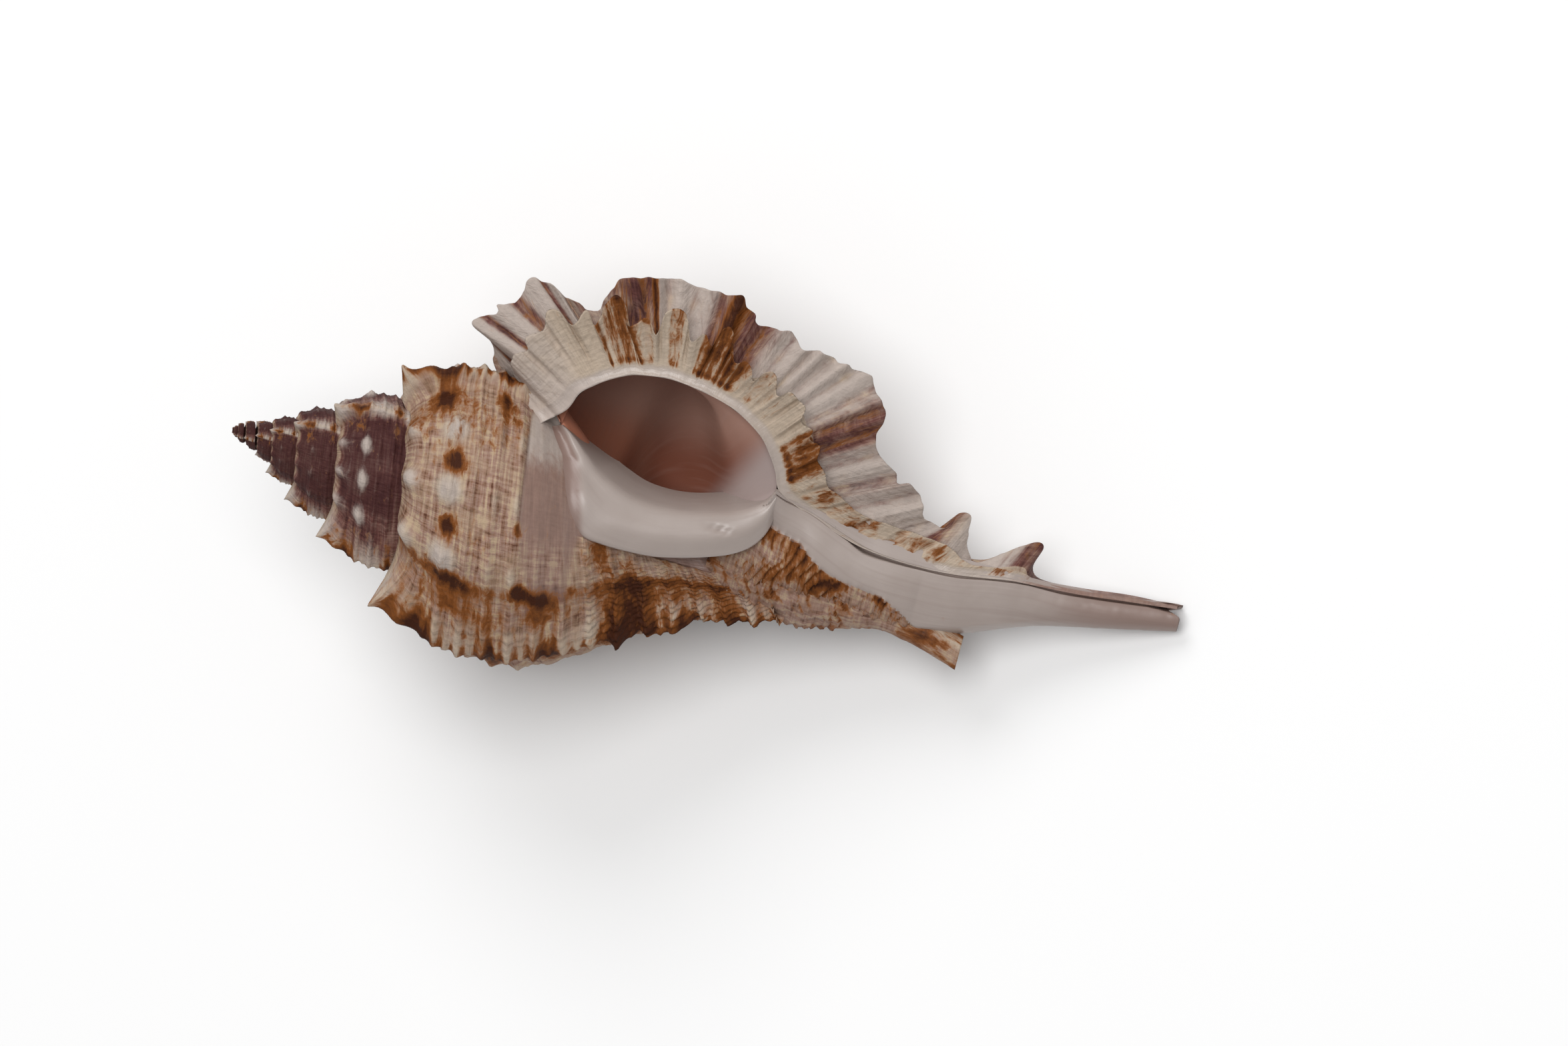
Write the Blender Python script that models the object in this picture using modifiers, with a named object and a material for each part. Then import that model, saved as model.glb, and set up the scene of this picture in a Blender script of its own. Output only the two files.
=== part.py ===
"""Murex shell, 110 mm long: a three-winged sea shell lying on its back with the aperture up.

The shell is one grown piece. It is lofted in its own frame, where X runs from the apex along the
coiling axis to the tip of the siphonal canal, Y points to the outer lip and Z out of the aperture,
all in millimetres. At the end it is turned to the pose in which it rests on a table.
"""

import math

import bmesh
import bpy
import numpy as np
from mathutils import Matrix, Vector

MM = 0.001
SHELL_COLOUR = (0.62, 0.45, 0.36, 1.0)
SHELL_ROUGHNESS = 0.45
VOXEL = 0.4                  # grid that fuses the lofts into one skin
KEPT_FACES = 0.045           # share of the skin's faces that is kept

# It rests on its dorsal varix, the back of the last whorl and the tip of the canal. This is the
# direction in the shell's own frame that then faces up.
REST_UP = (-0.267, 0.030, 0.963)

# Growth. Angles are in degrees around the axis, from +Y towards +Z, and they grow with the shell.
WHORL_RATIO = 1.655          # size of one whorl against the one before it
UNIT_ANGLE = -270.0          # where the growth scale is 1: the whorl left of the aperture, facing up
APEX_ANGLE = -3300.0
BODY_START = -345.0          # the last whorl starts here, under the outer lip
BODY_END = 16.0              # and ends here, where the outer lip flares out
SPIRE_STOP_X = 34.2          # the spire's whorls stop just under the next whorl
VARIX_ANGLES = (21.0, -110.0, -202.0, -330.0, -440.0, -560.0, -673.0, -790.0, -905.0, -1020.0,
                -1137.0, -1254.0, -1370.0, -1486.0)
VARIX_RISE = 8.0             # degrees over which a varix swells before its crest
VARIX_DROP = 3.0             # and drops off past it
NODE_PLACES = (0.25, 0.47, 0.70)     # low ribs, as parts of the way from one varix to the next
NODE_WIDTH = 6.0             # degrees
SPIRE_STEP = 5.0             # degrees from ring to ring
BODY_STEP = 2.5

# The axis is straight up to here, then the canal bends towards the outer lip: X, length, amount.
BEND_START = 58.0
BEND_LENGTH = 52.0
BEND_AMOUNT = 7.0
BEND_POWER = 1.5

# Outline of a whorl at scale 1, from the suture to the base: (along the axis, radius).
WHORL_OUTLINE = ((20.1, 9.4), (21.0, 10.9), (22.5, 12.3), (24.5, 13.7), (26.5, 14.7), (29.0, 15.4),
                 (31.5, 15.5), (33.5, 15.2), (36.0, 14.2), (39.0, 12.4), (41.5, 10.5), (44.0, 8.6),
                 (46.5, 7.0), (49.0, 5.8), (52.0, 4.8), (56.0, 4.1), (60.0, 3.2))
# Height of a varix at scale 1, by place along the axis.
VARIX_HEIGHT = ((19.0, 0.4), (21.5, 1.6), (24.5, 3.1), (26.5, 2.6), (29.0, 2.1), (32.0, 1.7),
                (35.0, 1.6), (38.0, 1.9), (41.0, 2.3), (43.0, 2.6), (45.0, 3.2), (48.0, 3.8),
                (50.0, 2.4), (53.0, 2.0), (60.0, 2.4))
CORD_SPACING = 2.65
CORD_PHASE_X = 25.7
CORD_HEIGHT = 0.22
CORD_SHARE = 0.2             # how much the cords scallop a varix
SHOULDER_X = 21.8            # the varices' shoulder: place, width, extra height, lean to the apex
SHOULDER_WIDTH = 1.5
SHOULDER_HEIGHT = 1.6
SHOULDER_LEAN = 3.6
NODE_HEIGHT = 0.8
KNOB_WIDTH = 1.5
LOWER_KNOB = (31.0, 5.0, 0.4)        # the fainter swelling below the knobs: place, width, share
OUTLINE_POINTS = 70

# The aperture's edge, seen from above: outer lip, then inner lip, both from the apex side. (X, Y, Z)
OUTER_LIP = ((36.0, 10.2, 8.6), (36.5, 12.5, 10.6), (37.8, 14.9, 12.2), (40.0, 16.6, 13.0),
             (42.5, 17.8, 13.2), (45.0, 18.3, 13.3), (47.5, 18.4, 13.3), (50.0, 18.1, 13.2),
             (53.0, 17.5, 13.0), (56.0, 16.3, 12.5), (58.3, 14.8, 11.8), (60.0, 12.9, 10.8),
             (61.2, 10.8, 9.6), (61.7, 9.0, 8.6))
INNER_LIP = ((36.0, 10.2, 8.6), (37.2, 9.2, 9.4), (39.0, 7.3, 10.5), (41.0, 5.5, 10.8),
             (43.0, 4.5, 10.8), (45.5, 3.6, 10.6), (48.5, 3.25, 10.2), (51.5, 3.4, 9.8),
             (54.5, 4.0, 9.3), (57.3, 4.8, 8.9), (59.5, 5.9, 8.6), (60.9, 7.2, 8.4),
             (61.7, 9.0, 8.6))
# Free edge of the inner lip's shelf, in step with INNER_LIP.
SHELF_EDGE = ((33.0, 9.0, 9.4), (35.5, 5.5, 11.5), (38.5, 1.5, 12.0), (41.2, -1.2, 11.1),
              (43.8, -1.7, 10.6), (47.0, -1.75, 9.9), (50.0, -1.55, 9.3), (53.0, -0.9, 8.8),
              (56.0, 0.0, 8.3), (58.5, 1.0, 7.9), (60.5, 2.4, 7.6), (61.7, 4.2, 7.4),
              (62.2, 6.2, 7.3))
SHELF_STATIONS = 60
SHELF_FULLNESS = ((0.0, 0.2), (0.25, 1.0), (0.8, 1.0), (1.0, 0.4))   # along the shelf, 0 to 1
SHELF_BULGE = 0.7            # height of the shelf's middle over its edges
SHELF_THICK = 1.2
WALL_REACH = (1.5, 3.5)      # how far the wall under the shelf goes in, near the top and deep down
WALL_DEPTH = (0.5, 7.0, 8.0)         # and how far down: at the lip, inside, and at the back

# The wing of the outer lip, station by station from the apex side to the canal's tip. Each row has
# X of the body under it, then (X, Y, Z) of the margin, of the inner frill's edge and of the wing's.
WING = (
    (30.0, (33.2, 8.4, 10.6), (30.7, 11.2, 8.2), (28.4, 12.9, 3.0)),
    (30.6, (33.8, 9.8, 10.0), (29.8, 13.4, 8.6), (26.8, 14.9, 2.5)),
    (31.5, (36.2, 12.0, 11.0), (28.7, 16.0, 10.8), (24.8, 17.6, 5.0)),
    (32.5, (37.2, 14.2, 12.2), (29.6, 18.6, 12.8), (23.5, 19.0, 7.0)),
    (34.0, (38.6, 15.5, 12.8), (31.6, 22.4, 14.4), (26.0, 21.8, 8.5)),
    (36.0, (39.8, 16.4, 13.1), (35.2, 22.8, 15.2), (28.8, 25.6, 9.8)),
    (38.0, (41.2, 17.2, 13.2), (36.8, 24.0, 15.4), (34.0, 24.4, 10.8)),
    (40.5, (42.6, 17.8, 13.2), (38.8, 25.6, 15.6), (37.6, 26.8, 11.4)),
    (43.0, (44.6, 18.2, 13.3), (42.2, 24.4, 15.4), (40.5, 28.7, 11.8)),
    (45.5, (46.5, 18.4, 13.3), (45.4, 26.0, 15.6), (44.5, 29.6, 12.0)),
    (48.0, (48.5, 18.3, 13.3), (48.6, 24.4, 15.4), (48.5, 29.2, 12.0)),
    (50.5, (50.5, 18.0, 13.2), (51.8, 25.2, 15.4), (52.2, 29.5, 12.0)),
    (53.0, (52.5, 17.6, 13.0), (54.6, 22.4, 15.0), (55.6, 26.9, 11.8)),
    (55.5, (54.5, 17.0, 12.8), (57.4, 21.8, 14.7), (58.6, 27.0, 11.6)),
    (58.0, (56.5, 16.0, 12.4), (59.9, 20.2, 14.2), (62.5, 25.8, 11.2)),
    (60.5, (58.4, 14.7, 11.8), (62.3, 19.0, 13.6), (68.2, 24.8, 10.6)),
    (62.5, (59.7, 13.2, 11.0), (63.0, 16.8, 12.8), (71.3, 21.0, 10.0)),
    (64.5, (60.9, 11.4, 9.9), (65.2, 15.0, 11.9), (71.4, 18.2, 9.2)),
    (67.0, (61.9, 9.4, 8.8), (66.3, 12.6, 10.6), (73.2, 15.7, 8.0)),
    (70.0, (64.5, 8.1, 7.4), (68.6, 10.5, 8.9), (76.2, 13.9, 6.8)),
    (73.0, (68.0, 6.9, 6.8), (71.6, 9.2, 7.7), (78.0, 12.0, 5.9)),
    (76.0, (72.0, 5.7, 6.2), (75.2, 8.9, 6.7), (79.6, 10.7, 4.9)),
    (78.0, (76.0, 5.2, 5.7), (79.0, 8.7, 5.8), (81.2, 10.5, 4.4)),
    (80.0, (80.0, 5.1, 5.1), (82.4, 8.2, 5.2), (83.3, 12.2, 4.4)),
    (83.5, (83.5, 5.3, 4.6), (84.8, 7.0, 4.6), (85.4, 7.7, 2.6)),
    (87.0, (87.0, 5.8, 4.1), (88.0, 7.3, 3.9), (88.6, 8.9, 2.8)),
    (90.0, (90.0, 6.3, 3.6), (91.0, 7.6, 3.2), (92.3, 11.3, 3.0)),
    (93.0, (93.0, 6.5, 3.0), (93.4, 7.1, 2.5), (93.6, 7.4, 1.2)),
    (98.0, (98.0, 6.8, 2.2), (98.0, 7.3, 1.7), (98.0, 7.6, 0.8)),
    (104.0, (104.0, 7.5, 1.5), (104.0, 8.0, 1.0), (104.0, 8.3, 0.2)),
    (109.4, (109.4, 8.1, 0.8), (109.6, 8.4, 0.4), (109.7, 8.5, -0.3)),
)
WING_STATIONS = 300
FOLD_SPACING = 3.3           # of the radial folds of the wing, along its edge
FOLD_DEPTH = 0.6
OUTWARD_SHARE = 0.6          # a fold's crest reaches outward by this share of its height
FOLD_FADE = ((72.0, 1.0), (80.0, 0.0))       # the folds end towards the canal: X and share
WING_SLIM = ((70.0, 1.0), (86.0, 0.0))       # and the wing gets slim: X and share
WING_THICK = 0.9             # of the sheet and of the frill
ROOT_SHARE = 0.38            # where the sheet starts, from the margin to the wing's edge

# Siphonal canal: (X, centre Y, half width, centre Z, half depth).
CANAL = ((50.0, 3.0, 4.0, -1.0, 5.0), (58.0, 3.2, 5.0, -0.3, 6.0), (62.0, 3.6, 5.0, 0.2, 6.4),
         (66.0, 3.4, 4.9, 0.4, 6.0), (70.0, 3.1, 5.0, 0.4, 5.5), (74.0, 2.7, 5.0, 0.4, 5.0),
         (78.0, 2.6, 5.0, 0.3, 4.6), (82.0, 2.9, 4.8, 0.2, 4.3), (86.0, 3.4, 4.3, 0.0, 3.9),
         (90.0, 4.1, 3.4, -0.1, 3.3), (94.0, 4.8, 2.6, -0.2, 2.7), (98.0, 5.4, 2.2, -0.3, 2.2),
         (102.0, 6.0, 1.95, -0.4, 1.9), (106.0, 6.6, 1.65, -0.5, 1.6), (110.0, 7.2, 1.35, -0.6, 1.3))
CANAL_RINGS = 70
CANAL_SIDES = 24

# The tip of the earlier canal, left as a scoop-shaped spine beside the new one. Same columns.
OLD_CANAL = ((56.0, -0.4, 3.2, 0.2, 4.2), (60.0, -0.2, 3.8, 0.4, 4.4), (62.5, -0.2, 3.9, 0.5, 4.2),
             (65.0, -0.3, 4.0, 0.5, 3.9), (68.2, -0.6, 4.1, 0.5, 3.5), (70.0, -0.7, 3.4, 0.5, 3.2),
             (74.0, -0.9, 2.6, 0.6, 2.8), (77.0, -0.9, 2.1, 0.7, 2.4), (80.0, -1.3, 2.1, 0.8, 1.9),
             (83.0, -2.1, 2.0, 0.9, 1.5), (86.6, -3.2, 2.0, 0.9, 0.95))
OLD_CANAL_RINGS = 40
OLD_CANAL_SIDES = 16

# Section of the hollow inside the last whorl at scale 1: outer wall, then inner wall.
HOLLOW_OUTER = ((21.6, 10.4), (23.2, 11.4), (25.5, 12.9), (28.0, 13.9), (31.0, 14.1), (34.0, 13.5),
                (37.0, 12.0), (40.0, 9.8), (42.5, 7.8), (45.0, 5.6), (46.2, 4.3))
HOLLOW_INNER = ((21.6, 10.4), (23.0, 9.4), (25.2, 7.6), (27.5, 5.6), (30.0, 4.2), (33.0, 3.4),
                (36.0, 3.0), (40.0, 2.8), (44.0, 3.2), (46.2, 4.3))
HOLLOW_ANGLES = (26.0, 4.0, -18.0, -40.0, -62.0, -84.0, -106.0)     # from the opening inwards
HOLLOW_POINTS = 14
ABOVE_MOUTH = 6.0            # the cutter starts this far over the opening, and a little wider
MOUTH_WIDER = 1.1
THROAT_SHARE = 0.55          # how close the ring between the opening and the hollow is to the hollow

# The narrow slit along the canal: (X, Y, Z of its bottom, width at the top).
SLIT = ((59.5, 8.9, 4.5, 3.0), (62.0, 8.2, 3.6, 2.0), (66.0, 7.3, 3.0, 1.3), (70.0, 6.2, 2.6, 1.1),
        (74.0, 5.15, 2.2, 1.0), (80.0, 4.8, 1.6, 0.8), (86.0, 5.1, 1.2, 0.7), (92.0, 5.75, 0.8, 0.6),
        (100.0, 6.35, 0.2, 0.6), (111.0, 7.7, -0.4, 0.7))
SLIT_TOP = ((60.0, 9.5), (80.0, 8.0), (110.0, 4.0))          # Z over the canal: X and Z
SLIT_RINGS = 30


def smooth(points, count):
    """`count` points spread evenly by length along a Catmull-Rom curve through `points`."""
    p = np.asarray(points, float)
    p = np.vstack([2 * p[0] - p[1], p, 2 * p[-1] - p[-2]])
    pieces = []
    f = np.linspace(0, 1, 24, endpoint=False)[:, None]
    for a, b, c, d in zip(p[:-3], p[1:-2], p[2:-1], p[3:]):
        pieces.append(0.5 * (2 * b + (c - a) * f + (2 * a - 5 * b + 4 * c - d) * f ** 2
                             + (3 * b - a - 3 * c + d) * f ** 3))
    dense = np.vstack(pieces + [p[-2:-1]])
    length = np.concatenate([[0], np.cumsum(np.linalg.norm(np.diff(dense, axis=0), axis=1))])
    at = np.linspace(0, length[-1], count)
    return np.column_stack([np.interp(at, length, column) for column in dense.T])


def table(x, rows):
    """Value at x of a table of (x, value) rows."""
    rows = np.asarray(rows)
    return np.interp(x, rows[:, 0], rows[:, 1])


def growth(angle):
    return WHORL_RATIO ** ((angle - UNIT_ANGLE) / 360.0)


def canal_bend(x):
    """How far the axis has bent towards the outer lip at x."""
    return BEND_AMOUNT * np.clip((x - BEND_START) / BEND_LENGTH, 0, None) ** BEND_POWER


def hill(x, middle, width):
    """1 at the middle, and less further away."""
    return np.exp(-((x - middle) / width) ** 2)


def varix_rise(angle):
    """0 to 1: a varix rises slowly with growth and drops off steeply past its crest."""
    rise = 0.0
    for crest in VARIX_ANGLES[1:]:
        width = VARIX_RISE if angle < crest else VARIX_DROP
        rise = max(rise, hill(angle, crest, width))
    return rise


def node_rise(angle):
    """0 to 1: the low ribs between two varices."""
    rise = 0.0
    for after, before in zip(VARIX_ANGLES[:-1], VARIX_ANGLES[1:]):
        for place in NODE_PLACES:
            rise = max(rise, hill(angle, before + place * (after - before), NODE_WIDTH))
    return rise


def whorl_section(angle, outline):
    """The outer line of the whorl at this growth angle, as (along the axis, radius) rows."""
    x, r = outline[:, 0], outline[:, 1]
    rise = varix_rise(angle)
    cords = np.cos(2 * np.pi * (x - CORD_PHASE_X) / CORD_SPACING)
    shoulder = hill(x, SHOULDER_X, SHOULDER_WIDTH)
    lower_x, lower_width, lower_share = LOWER_KNOB
    knob = hill(x, CORD_PHASE_X, KNOB_WIDTH) + lower_share * hill(x, lower_x, lower_width)
    out = rise * (table(x, VARIX_HEIGHT) * (1 + CORD_SHARE * cords) + SHOULDER_HEIGHT * shoulder)
    out += CORD_HEIGHT * cords + NODE_HEIGHT * node_rise(angle) * knob
    lean = rise * SHOULDER_LEAN * shoulder
    size = growth(angle)
    return np.column_stack([size * (x - lean), size * (r + out)])


def around_axis(section, angle):
    turn = math.radians(angle)
    x, r = section[:, 0], section[:, 1]
    return np.column_stack([x, r * math.cos(turn) + canal_bend(x), r * math.sin(turn)])


def whorl_rings(outline, start, stop, step):
    """Rings of a coiled solid: each is the whorl's line, closed along the axis."""
    rings = []
    for angle in np.linspace(start, stop, int((stop - start) / step) + 1):
        section = whorl_section(angle, outline)
        foot = [[section[-1, 0], 0.0], [section[0, 0], 0.0]]
        rings.append(around_axis(np.vstack([section, foot]), angle))
    return rings


def loft(mesh, rings):
    """Adds a closed solid through rings that all have the same number of points."""
    loops = [[mesh.verts.new(point * MM) for point in ring] for ring in rings]
    for one, two in zip(loops, loops[1:]):
        for i in range(len(one)):
            j = (i + 1) % len(one)
            mesh.faces.new((one[i], one[j], two[j], two[i]))
    mesh.faces.new(loops[0][::-1])
    mesh.faces.new(loops[-1])


def fold(line, margin):
    """`line` with radial folds: its crests reach out and up, its troughs in and down."""
    steps = np.linalg.norm(np.diff(line, axis=0), axis=1)
    along = np.concatenate([[0], np.cumsum(steps)])
    wave = np.cos(2 * np.pi * along / FOLD_SPACING) * table(line[:, 0], FOLD_FADE)
    out = line - margin
    out *= OUTWARD_SHARE / np.linalg.norm(out, axis=1)[:, None]
    out[:, 2] = 1.0
    return line + FOLD_DEPTH * wave[:, None] * out


def wing_rings():
    """Cross-sections of the outer lip: back of the wing, its edge, the frill, the margin, the wall."""
    rows = np.array([[row[0], *row[1], *row[2], *row[3]] for row in WING])
    rows = smooth(rows, WING_STATIONS)
    rows[:, 4:7] = fold(rows[:, 4:7], rows[:, 1:4])
    rows[:, 7:10] = fold(rows[:, 7:10], rows[:, 1:4])
    whorl = smooth(WHORL_OUTLINE, OUTLINE_POINTS)
    size = growth(BODY_END)
    turn = math.radians(BODY_END)
    down = np.array([0.0, 0.0, -WING_THICK])
    rings = []
    for row in rows:
        foot_x, margin, frill, edge = row[0], row[1:4], row[4:7], row[7:10]
        slim = table(foot_x, WING_SLIM)
        thick = 0.35 + 0.65 * slim
        centre_y, wide = canal_at(foot_x)
        radius = slim * size * np.interp(foot_x / size, whorl[:, 0], whorl[:, 1]) + (1 - slim) * wide
        middle = slim * canal_bend(foot_x) + (1 - slim) * centre_y
        foot = np.array([foot_x, middle + radius * math.cos(turn), radius * math.sin(turn)])
        into_whorl = foot + thick * np.array([0.0, -1.2, -0.4])
        wall = margin + thick * np.array([0.0, 0.6, -1.6])
        hollow = 0.55 * foot + 0.45 * edge + slim * down
        root = (1 - ROOT_SHARE) * margin + ROOT_SHARE * edge
        front = 0.5 * (margin + frill) + 0.15 * down
        frill_back = 0.85 * frill + 0.15 * margin + thick * down
        rings.append(np.array([into_whorl, foot, hollow, edge + thick * down, edge,
                               0.5 * (edge + root), root, frill_back, frill, front, margin, wall]))
    return rings


def canal_at(x):
    """Centre Y and half width of the canal at x."""
    rows = np.asarray(CANAL)
    return np.interp(x, rows[:, 0], rows[:, 1]), np.interp(x, rows[:, 0], rows[:, 2])


def tube_rings(line, count, sides):
    """Oval rings along a line of (X, centre Y, half width, centre Z, half depth) rows."""
    turn = np.linspace(0, 2 * np.pi, sides, endpoint=False)
    rings = []
    for x, centre_y, wide, centre_z, deep in smooth(line, count):
        rings.append(np.column_stack([np.full(sides, x), centre_y + wide * np.cos(turn),
                                      centre_z + deep * np.sin(turn)]))
    return rings


def shelf_rings():
    """The shelf of the inner lip, with the wall that carries it down to the columella."""
    up = np.array([0.0, 0.0, 1.0])
    inner = smooth(INNER_LIP, SHELF_STATIONS)
    outer = smooth(SHELF_EDGE, SHELF_STATIONS)
    fullness = table(np.linspace(0, 1, SHELF_STATIONS), SHELF_FULLNESS)
    near, deep = WALL_REACH
    drop, far_down, behind = WALL_DEPTH
    rings = []
    for a, b, full in zip(inner, outer, fullness):
        across = a - b
        across[2] = 0.0
        across /= np.linalg.norm(across)
        middle = 0.5 * (a + b)
        rings.append(np.array([b, middle + full * SHELF_BULGE * up, a,
                               a + full * (near * across - drop * up),
                               a + full * deep * across - far_down * up, middle - behind * up,
                               b + 0.5 * SHELF_THICK * across - SHELF_THICK * up]))
    return rings


def closed_loop(one, two):
    """A ring from two lines that share both ends."""
    one, two = smooth(one, HOLLOW_POINTS), smooth(two, HOLLOW_POINTS)
    return np.vstack([one, two[-2:0:-1]])


def hollow_rings():
    """The hollow from above the aperture down and round the columella."""
    mouth = closed_loop(OUTER_LIP, INNER_LIP)
    middle = mouth.mean(axis=0)
    above = middle + (mouth - middle) * MOUTH_WIDER + np.array([0.0, 0.0, ABOVE_MOUTH])
    section = closed_loop(HOLLOW_OUTER, HOLLOW_INNER)
    deep = [around_axis(section * growth(angle), angle) for angle in HOLLOW_ANGLES]
    throat = (1 - THROAT_SHARE) * mouth + THROAT_SHARE * deep[0]
    return [above, mouth, throat, *deep]


def slit_rings():
    """A wedge along the canal, narrow at its bottom."""
    rings = []
    for x, y, bottom, wide in smooth(SLIT, SLIT_RINGS):
        top = table(x, SLIT_TOP)
        halfway = 0.5 * (bottom + top)
        rings.append(np.array([[x, y, bottom], [x, y + 0.5 * wide, halfway], [x, y + 0.7 * wide, top],
                               [x, y - 0.7 * wide, top], [x, y - 0.5 * wide, halfway]]))
    return rings


def new_object(name, lofts, collection):
    """An object made of one closed solid for each list of rings."""
    mesh = bmesh.new()
    for rings in lofts:
        loft(mesh, rings)
    bmesh.ops.recalc_face_normals(mesh, faces=mesh.faces)
    data = bpy.data.meshes.new(name)
    mesh.to_mesh(data)
    mesh.free()
    made = bpy.data.objects.new(name, data)
    collection.objects.link(made)
    return made


def shell_lofts():
    outline = smooth(WHORL_OUTLINE, OUTLINE_POINTS)
    spire = outline[outline[:, 0] < SPIRE_STOP_X]
    return [whorl_rings(spire, APEX_ANGLE, BODY_START, SPIRE_STEP),
            whorl_rings(outline, BODY_START, BODY_END, BODY_STEP),
            wing_rings(),
            tube_rings(CANAL, CANAL_RINGS, CANAL_SIDES),
            shelf_rings(),
            tube_rings(OLD_CANAL, OLD_CANAL_RINGS, OLD_CANAL_SIDES)]


def shell_material():
    made = bpy.data.materials.new("shell")
    made.use_nodes = True
    shader = made.node_tree.nodes["Principled BSDF"]
    shader.inputs["Base Color"].default_value = SHELL_COLOUR
    shader.inputs["Roughness"].default_value = SHELL_ROUGHNESS
    return made


def lay_down(objects, shell):
    """Turns everything to the resting pose, with the middle of the shell's foot at the origin."""
    up = Vector(REST_UP).normalized()
    along = (Vector((1, 0, 0)) - up.x * up).normalized()
    turn = Matrix((along, up.cross(along), up)).to_4x4()
    for piece in objects:
        piece.matrix_world = turn
    bpy.context.view_layer.update()
    solid = shell.evaluated_get(bpy.context.evaluated_depsgraph_get())
    corners = np.array([solid.matrix_world @ corner.co for corner in solid.data.vertices])
    low, high = corners.min(axis=0), corners.max(axis=0)
    shift = Matrix.Translation((-(low[0] + high[0]) / 2, -(low[1] + high[1]) / 2, -low[2]))
    for piece in objects:
        piece.matrix_world = shift @ turn
    print("the apex lies at", [round(value / MM, 3) for value in shift.translation], "mm")


def main():
    for old in list(bpy.data.objects):
        bpy.data.objects.remove(old)
    parts = bpy.data.collections.new("murex_shell")
    cutters = bpy.data.collections.new("cutters")
    bpy.context.scene.collection.children.link(parts)
    bpy.context.scene.collection.children.link(cutters)
    shell = new_object("shell", shell_lofts(), parts)
    shell.data.materials.append(shell_material())
    remesh = shell.modifiers.new("one_skin", "REMESH")
    remesh.mode = "VOXEL"
    remesh.voxel_size = VOXEL * MM
    thin = shell.modifiers.new("fewer_faces", "DECIMATE")
    thin.ratio = KEPT_FACES
    for name, rings in (("aperture", hollow_rings()), ("canal_slit", slit_rings())):
        cutter = new_object(name, [rings], cutters)
        cutter.hide_render = True
        cutter.display_type = "WIRE"
        cut = shell.modifiers.new(name, "BOOLEAN")
        cut.operation = "DIFFERENCE"
        cut.object = cutter
    lay_down([shell, *cutters.objects], shell)


main()
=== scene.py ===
# %% [markdown]
# # A murex shell, grown in Blender
# A murex is a sea snail. Its shell is a tube that gets wider as it winds round a straight axis, and
# three times in each turn the snail stops and builds a raised ridge, a varix, with frills and short
# spines. This lesson builds one shell, 110 mm long, that lies on its back with the opening up.
# The shell could be sculpted by hand, but its shape follows a few rules of growth, so formulas give
# the ribs, knobs and frills in their right places, and each piece stays easy to change.

# %% Load the frame
import math

import bmesh
import bpy
import numpy as np
from mathutils import Matrix, Vector


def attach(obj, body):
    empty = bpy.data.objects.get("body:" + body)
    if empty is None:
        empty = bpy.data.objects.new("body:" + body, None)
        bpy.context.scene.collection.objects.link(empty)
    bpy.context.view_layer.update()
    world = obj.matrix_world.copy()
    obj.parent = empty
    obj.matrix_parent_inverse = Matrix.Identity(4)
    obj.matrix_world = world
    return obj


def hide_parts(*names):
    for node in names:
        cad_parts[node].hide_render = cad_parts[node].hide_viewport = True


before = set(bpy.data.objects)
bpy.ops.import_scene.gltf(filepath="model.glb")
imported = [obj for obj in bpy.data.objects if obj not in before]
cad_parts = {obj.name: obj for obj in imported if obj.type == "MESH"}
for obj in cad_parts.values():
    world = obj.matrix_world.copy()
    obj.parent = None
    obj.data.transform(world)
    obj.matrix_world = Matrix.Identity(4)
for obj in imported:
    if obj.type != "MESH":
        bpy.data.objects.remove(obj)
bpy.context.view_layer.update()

MM = 0.001

# %% [markdown]
# ## Where the shell lies
# A shell is easiest to describe along its own axis: X from the apex to the tip of the canal, Y to
# the outer lip and Z out of the opening, in millimetres. On a table it rests on two humps and the
# canal's tip, so everything is turned by one matrix at the end. A matrix is safer than turning
# each object by hand, because the camera can use the same one.

# %% From the shell's own frame to the room
REST_UP = (-0.267, 0.030, 0.963)        # the direction in the shell that faces up when it rests
APEX_PLACE = np.array([-53.288, -5.493, 30.85])      # where the apex is then, in mm

up = Vector(REST_UP).normalized()
along = (Vector((1, 0, 0)) - up.x * up).normalized()
TURN = np.array(Matrix((along, up.cross(along), up)))


def to_room(points):
    """Points of the shell's own frame, in mm, as places in the room, in metres."""
    return (points @ TURN.T + APEX_PLACE) * MM


print("the shell's Z leans", round(math.degrees(math.acos(TURN[2, 2])), 1), "degrees from upright")

# %% [markdown]
# ## Curves, tables and natural irregularity
# Three small helpers do most of the work. A Catmull-Rom curve passes through each point that it is
# given, so an outline can be written as a short list of places. A step that is eased at both ends
# joins two surfaces without a hard line. Grain is a smooth random field: a real shell never repeats
# a rib exactly, and the same seed gives the same shell each time.

# %% Helpers for shapes
CURVE_STEPS = 24        # points between two given ones, before they are spread evenly


def smooth(points, count):
    """`count` points spread evenly by length along a Catmull-Rom curve through `points`."""
    p = np.asarray(points, float)
    p = np.vstack([2 * p[0] - p[1], p, 2 * p[-1] - p[-2]])
    f = np.linspace(0, 1, CURVE_STEPS, endpoint=False)[:, None]
    pieces = []
    for a, b, c, d in zip(p[:-3], p[1:-2], p[2:-1], p[3:]):
        pieces.append(0.5 * (2 * b + (c - a) * f + (2 * a - 5 * b + 4 * c - d) * f ** 2
                             + (3 * b - a - 3 * c + d) * f ** 3))
    dense = np.vstack(pieces + [p[-2:-1]])
    length = lengths_along(dense)
    at = np.linspace(0, length[-1], count)
    return np.column_stack([np.interp(at, length, column) for column in dense.T])


def lengths_along(line):
    return np.concatenate([[0], np.cumsum(np.linalg.norm(np.diff(line, axis=0), axis=1))])


def table(x, rows):
    """Value at x of a table of (x, value) rows."""
    rows = np.asarray(rows)
    return np.interp(x, rows[:, 0], rows[:, 1])


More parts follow.
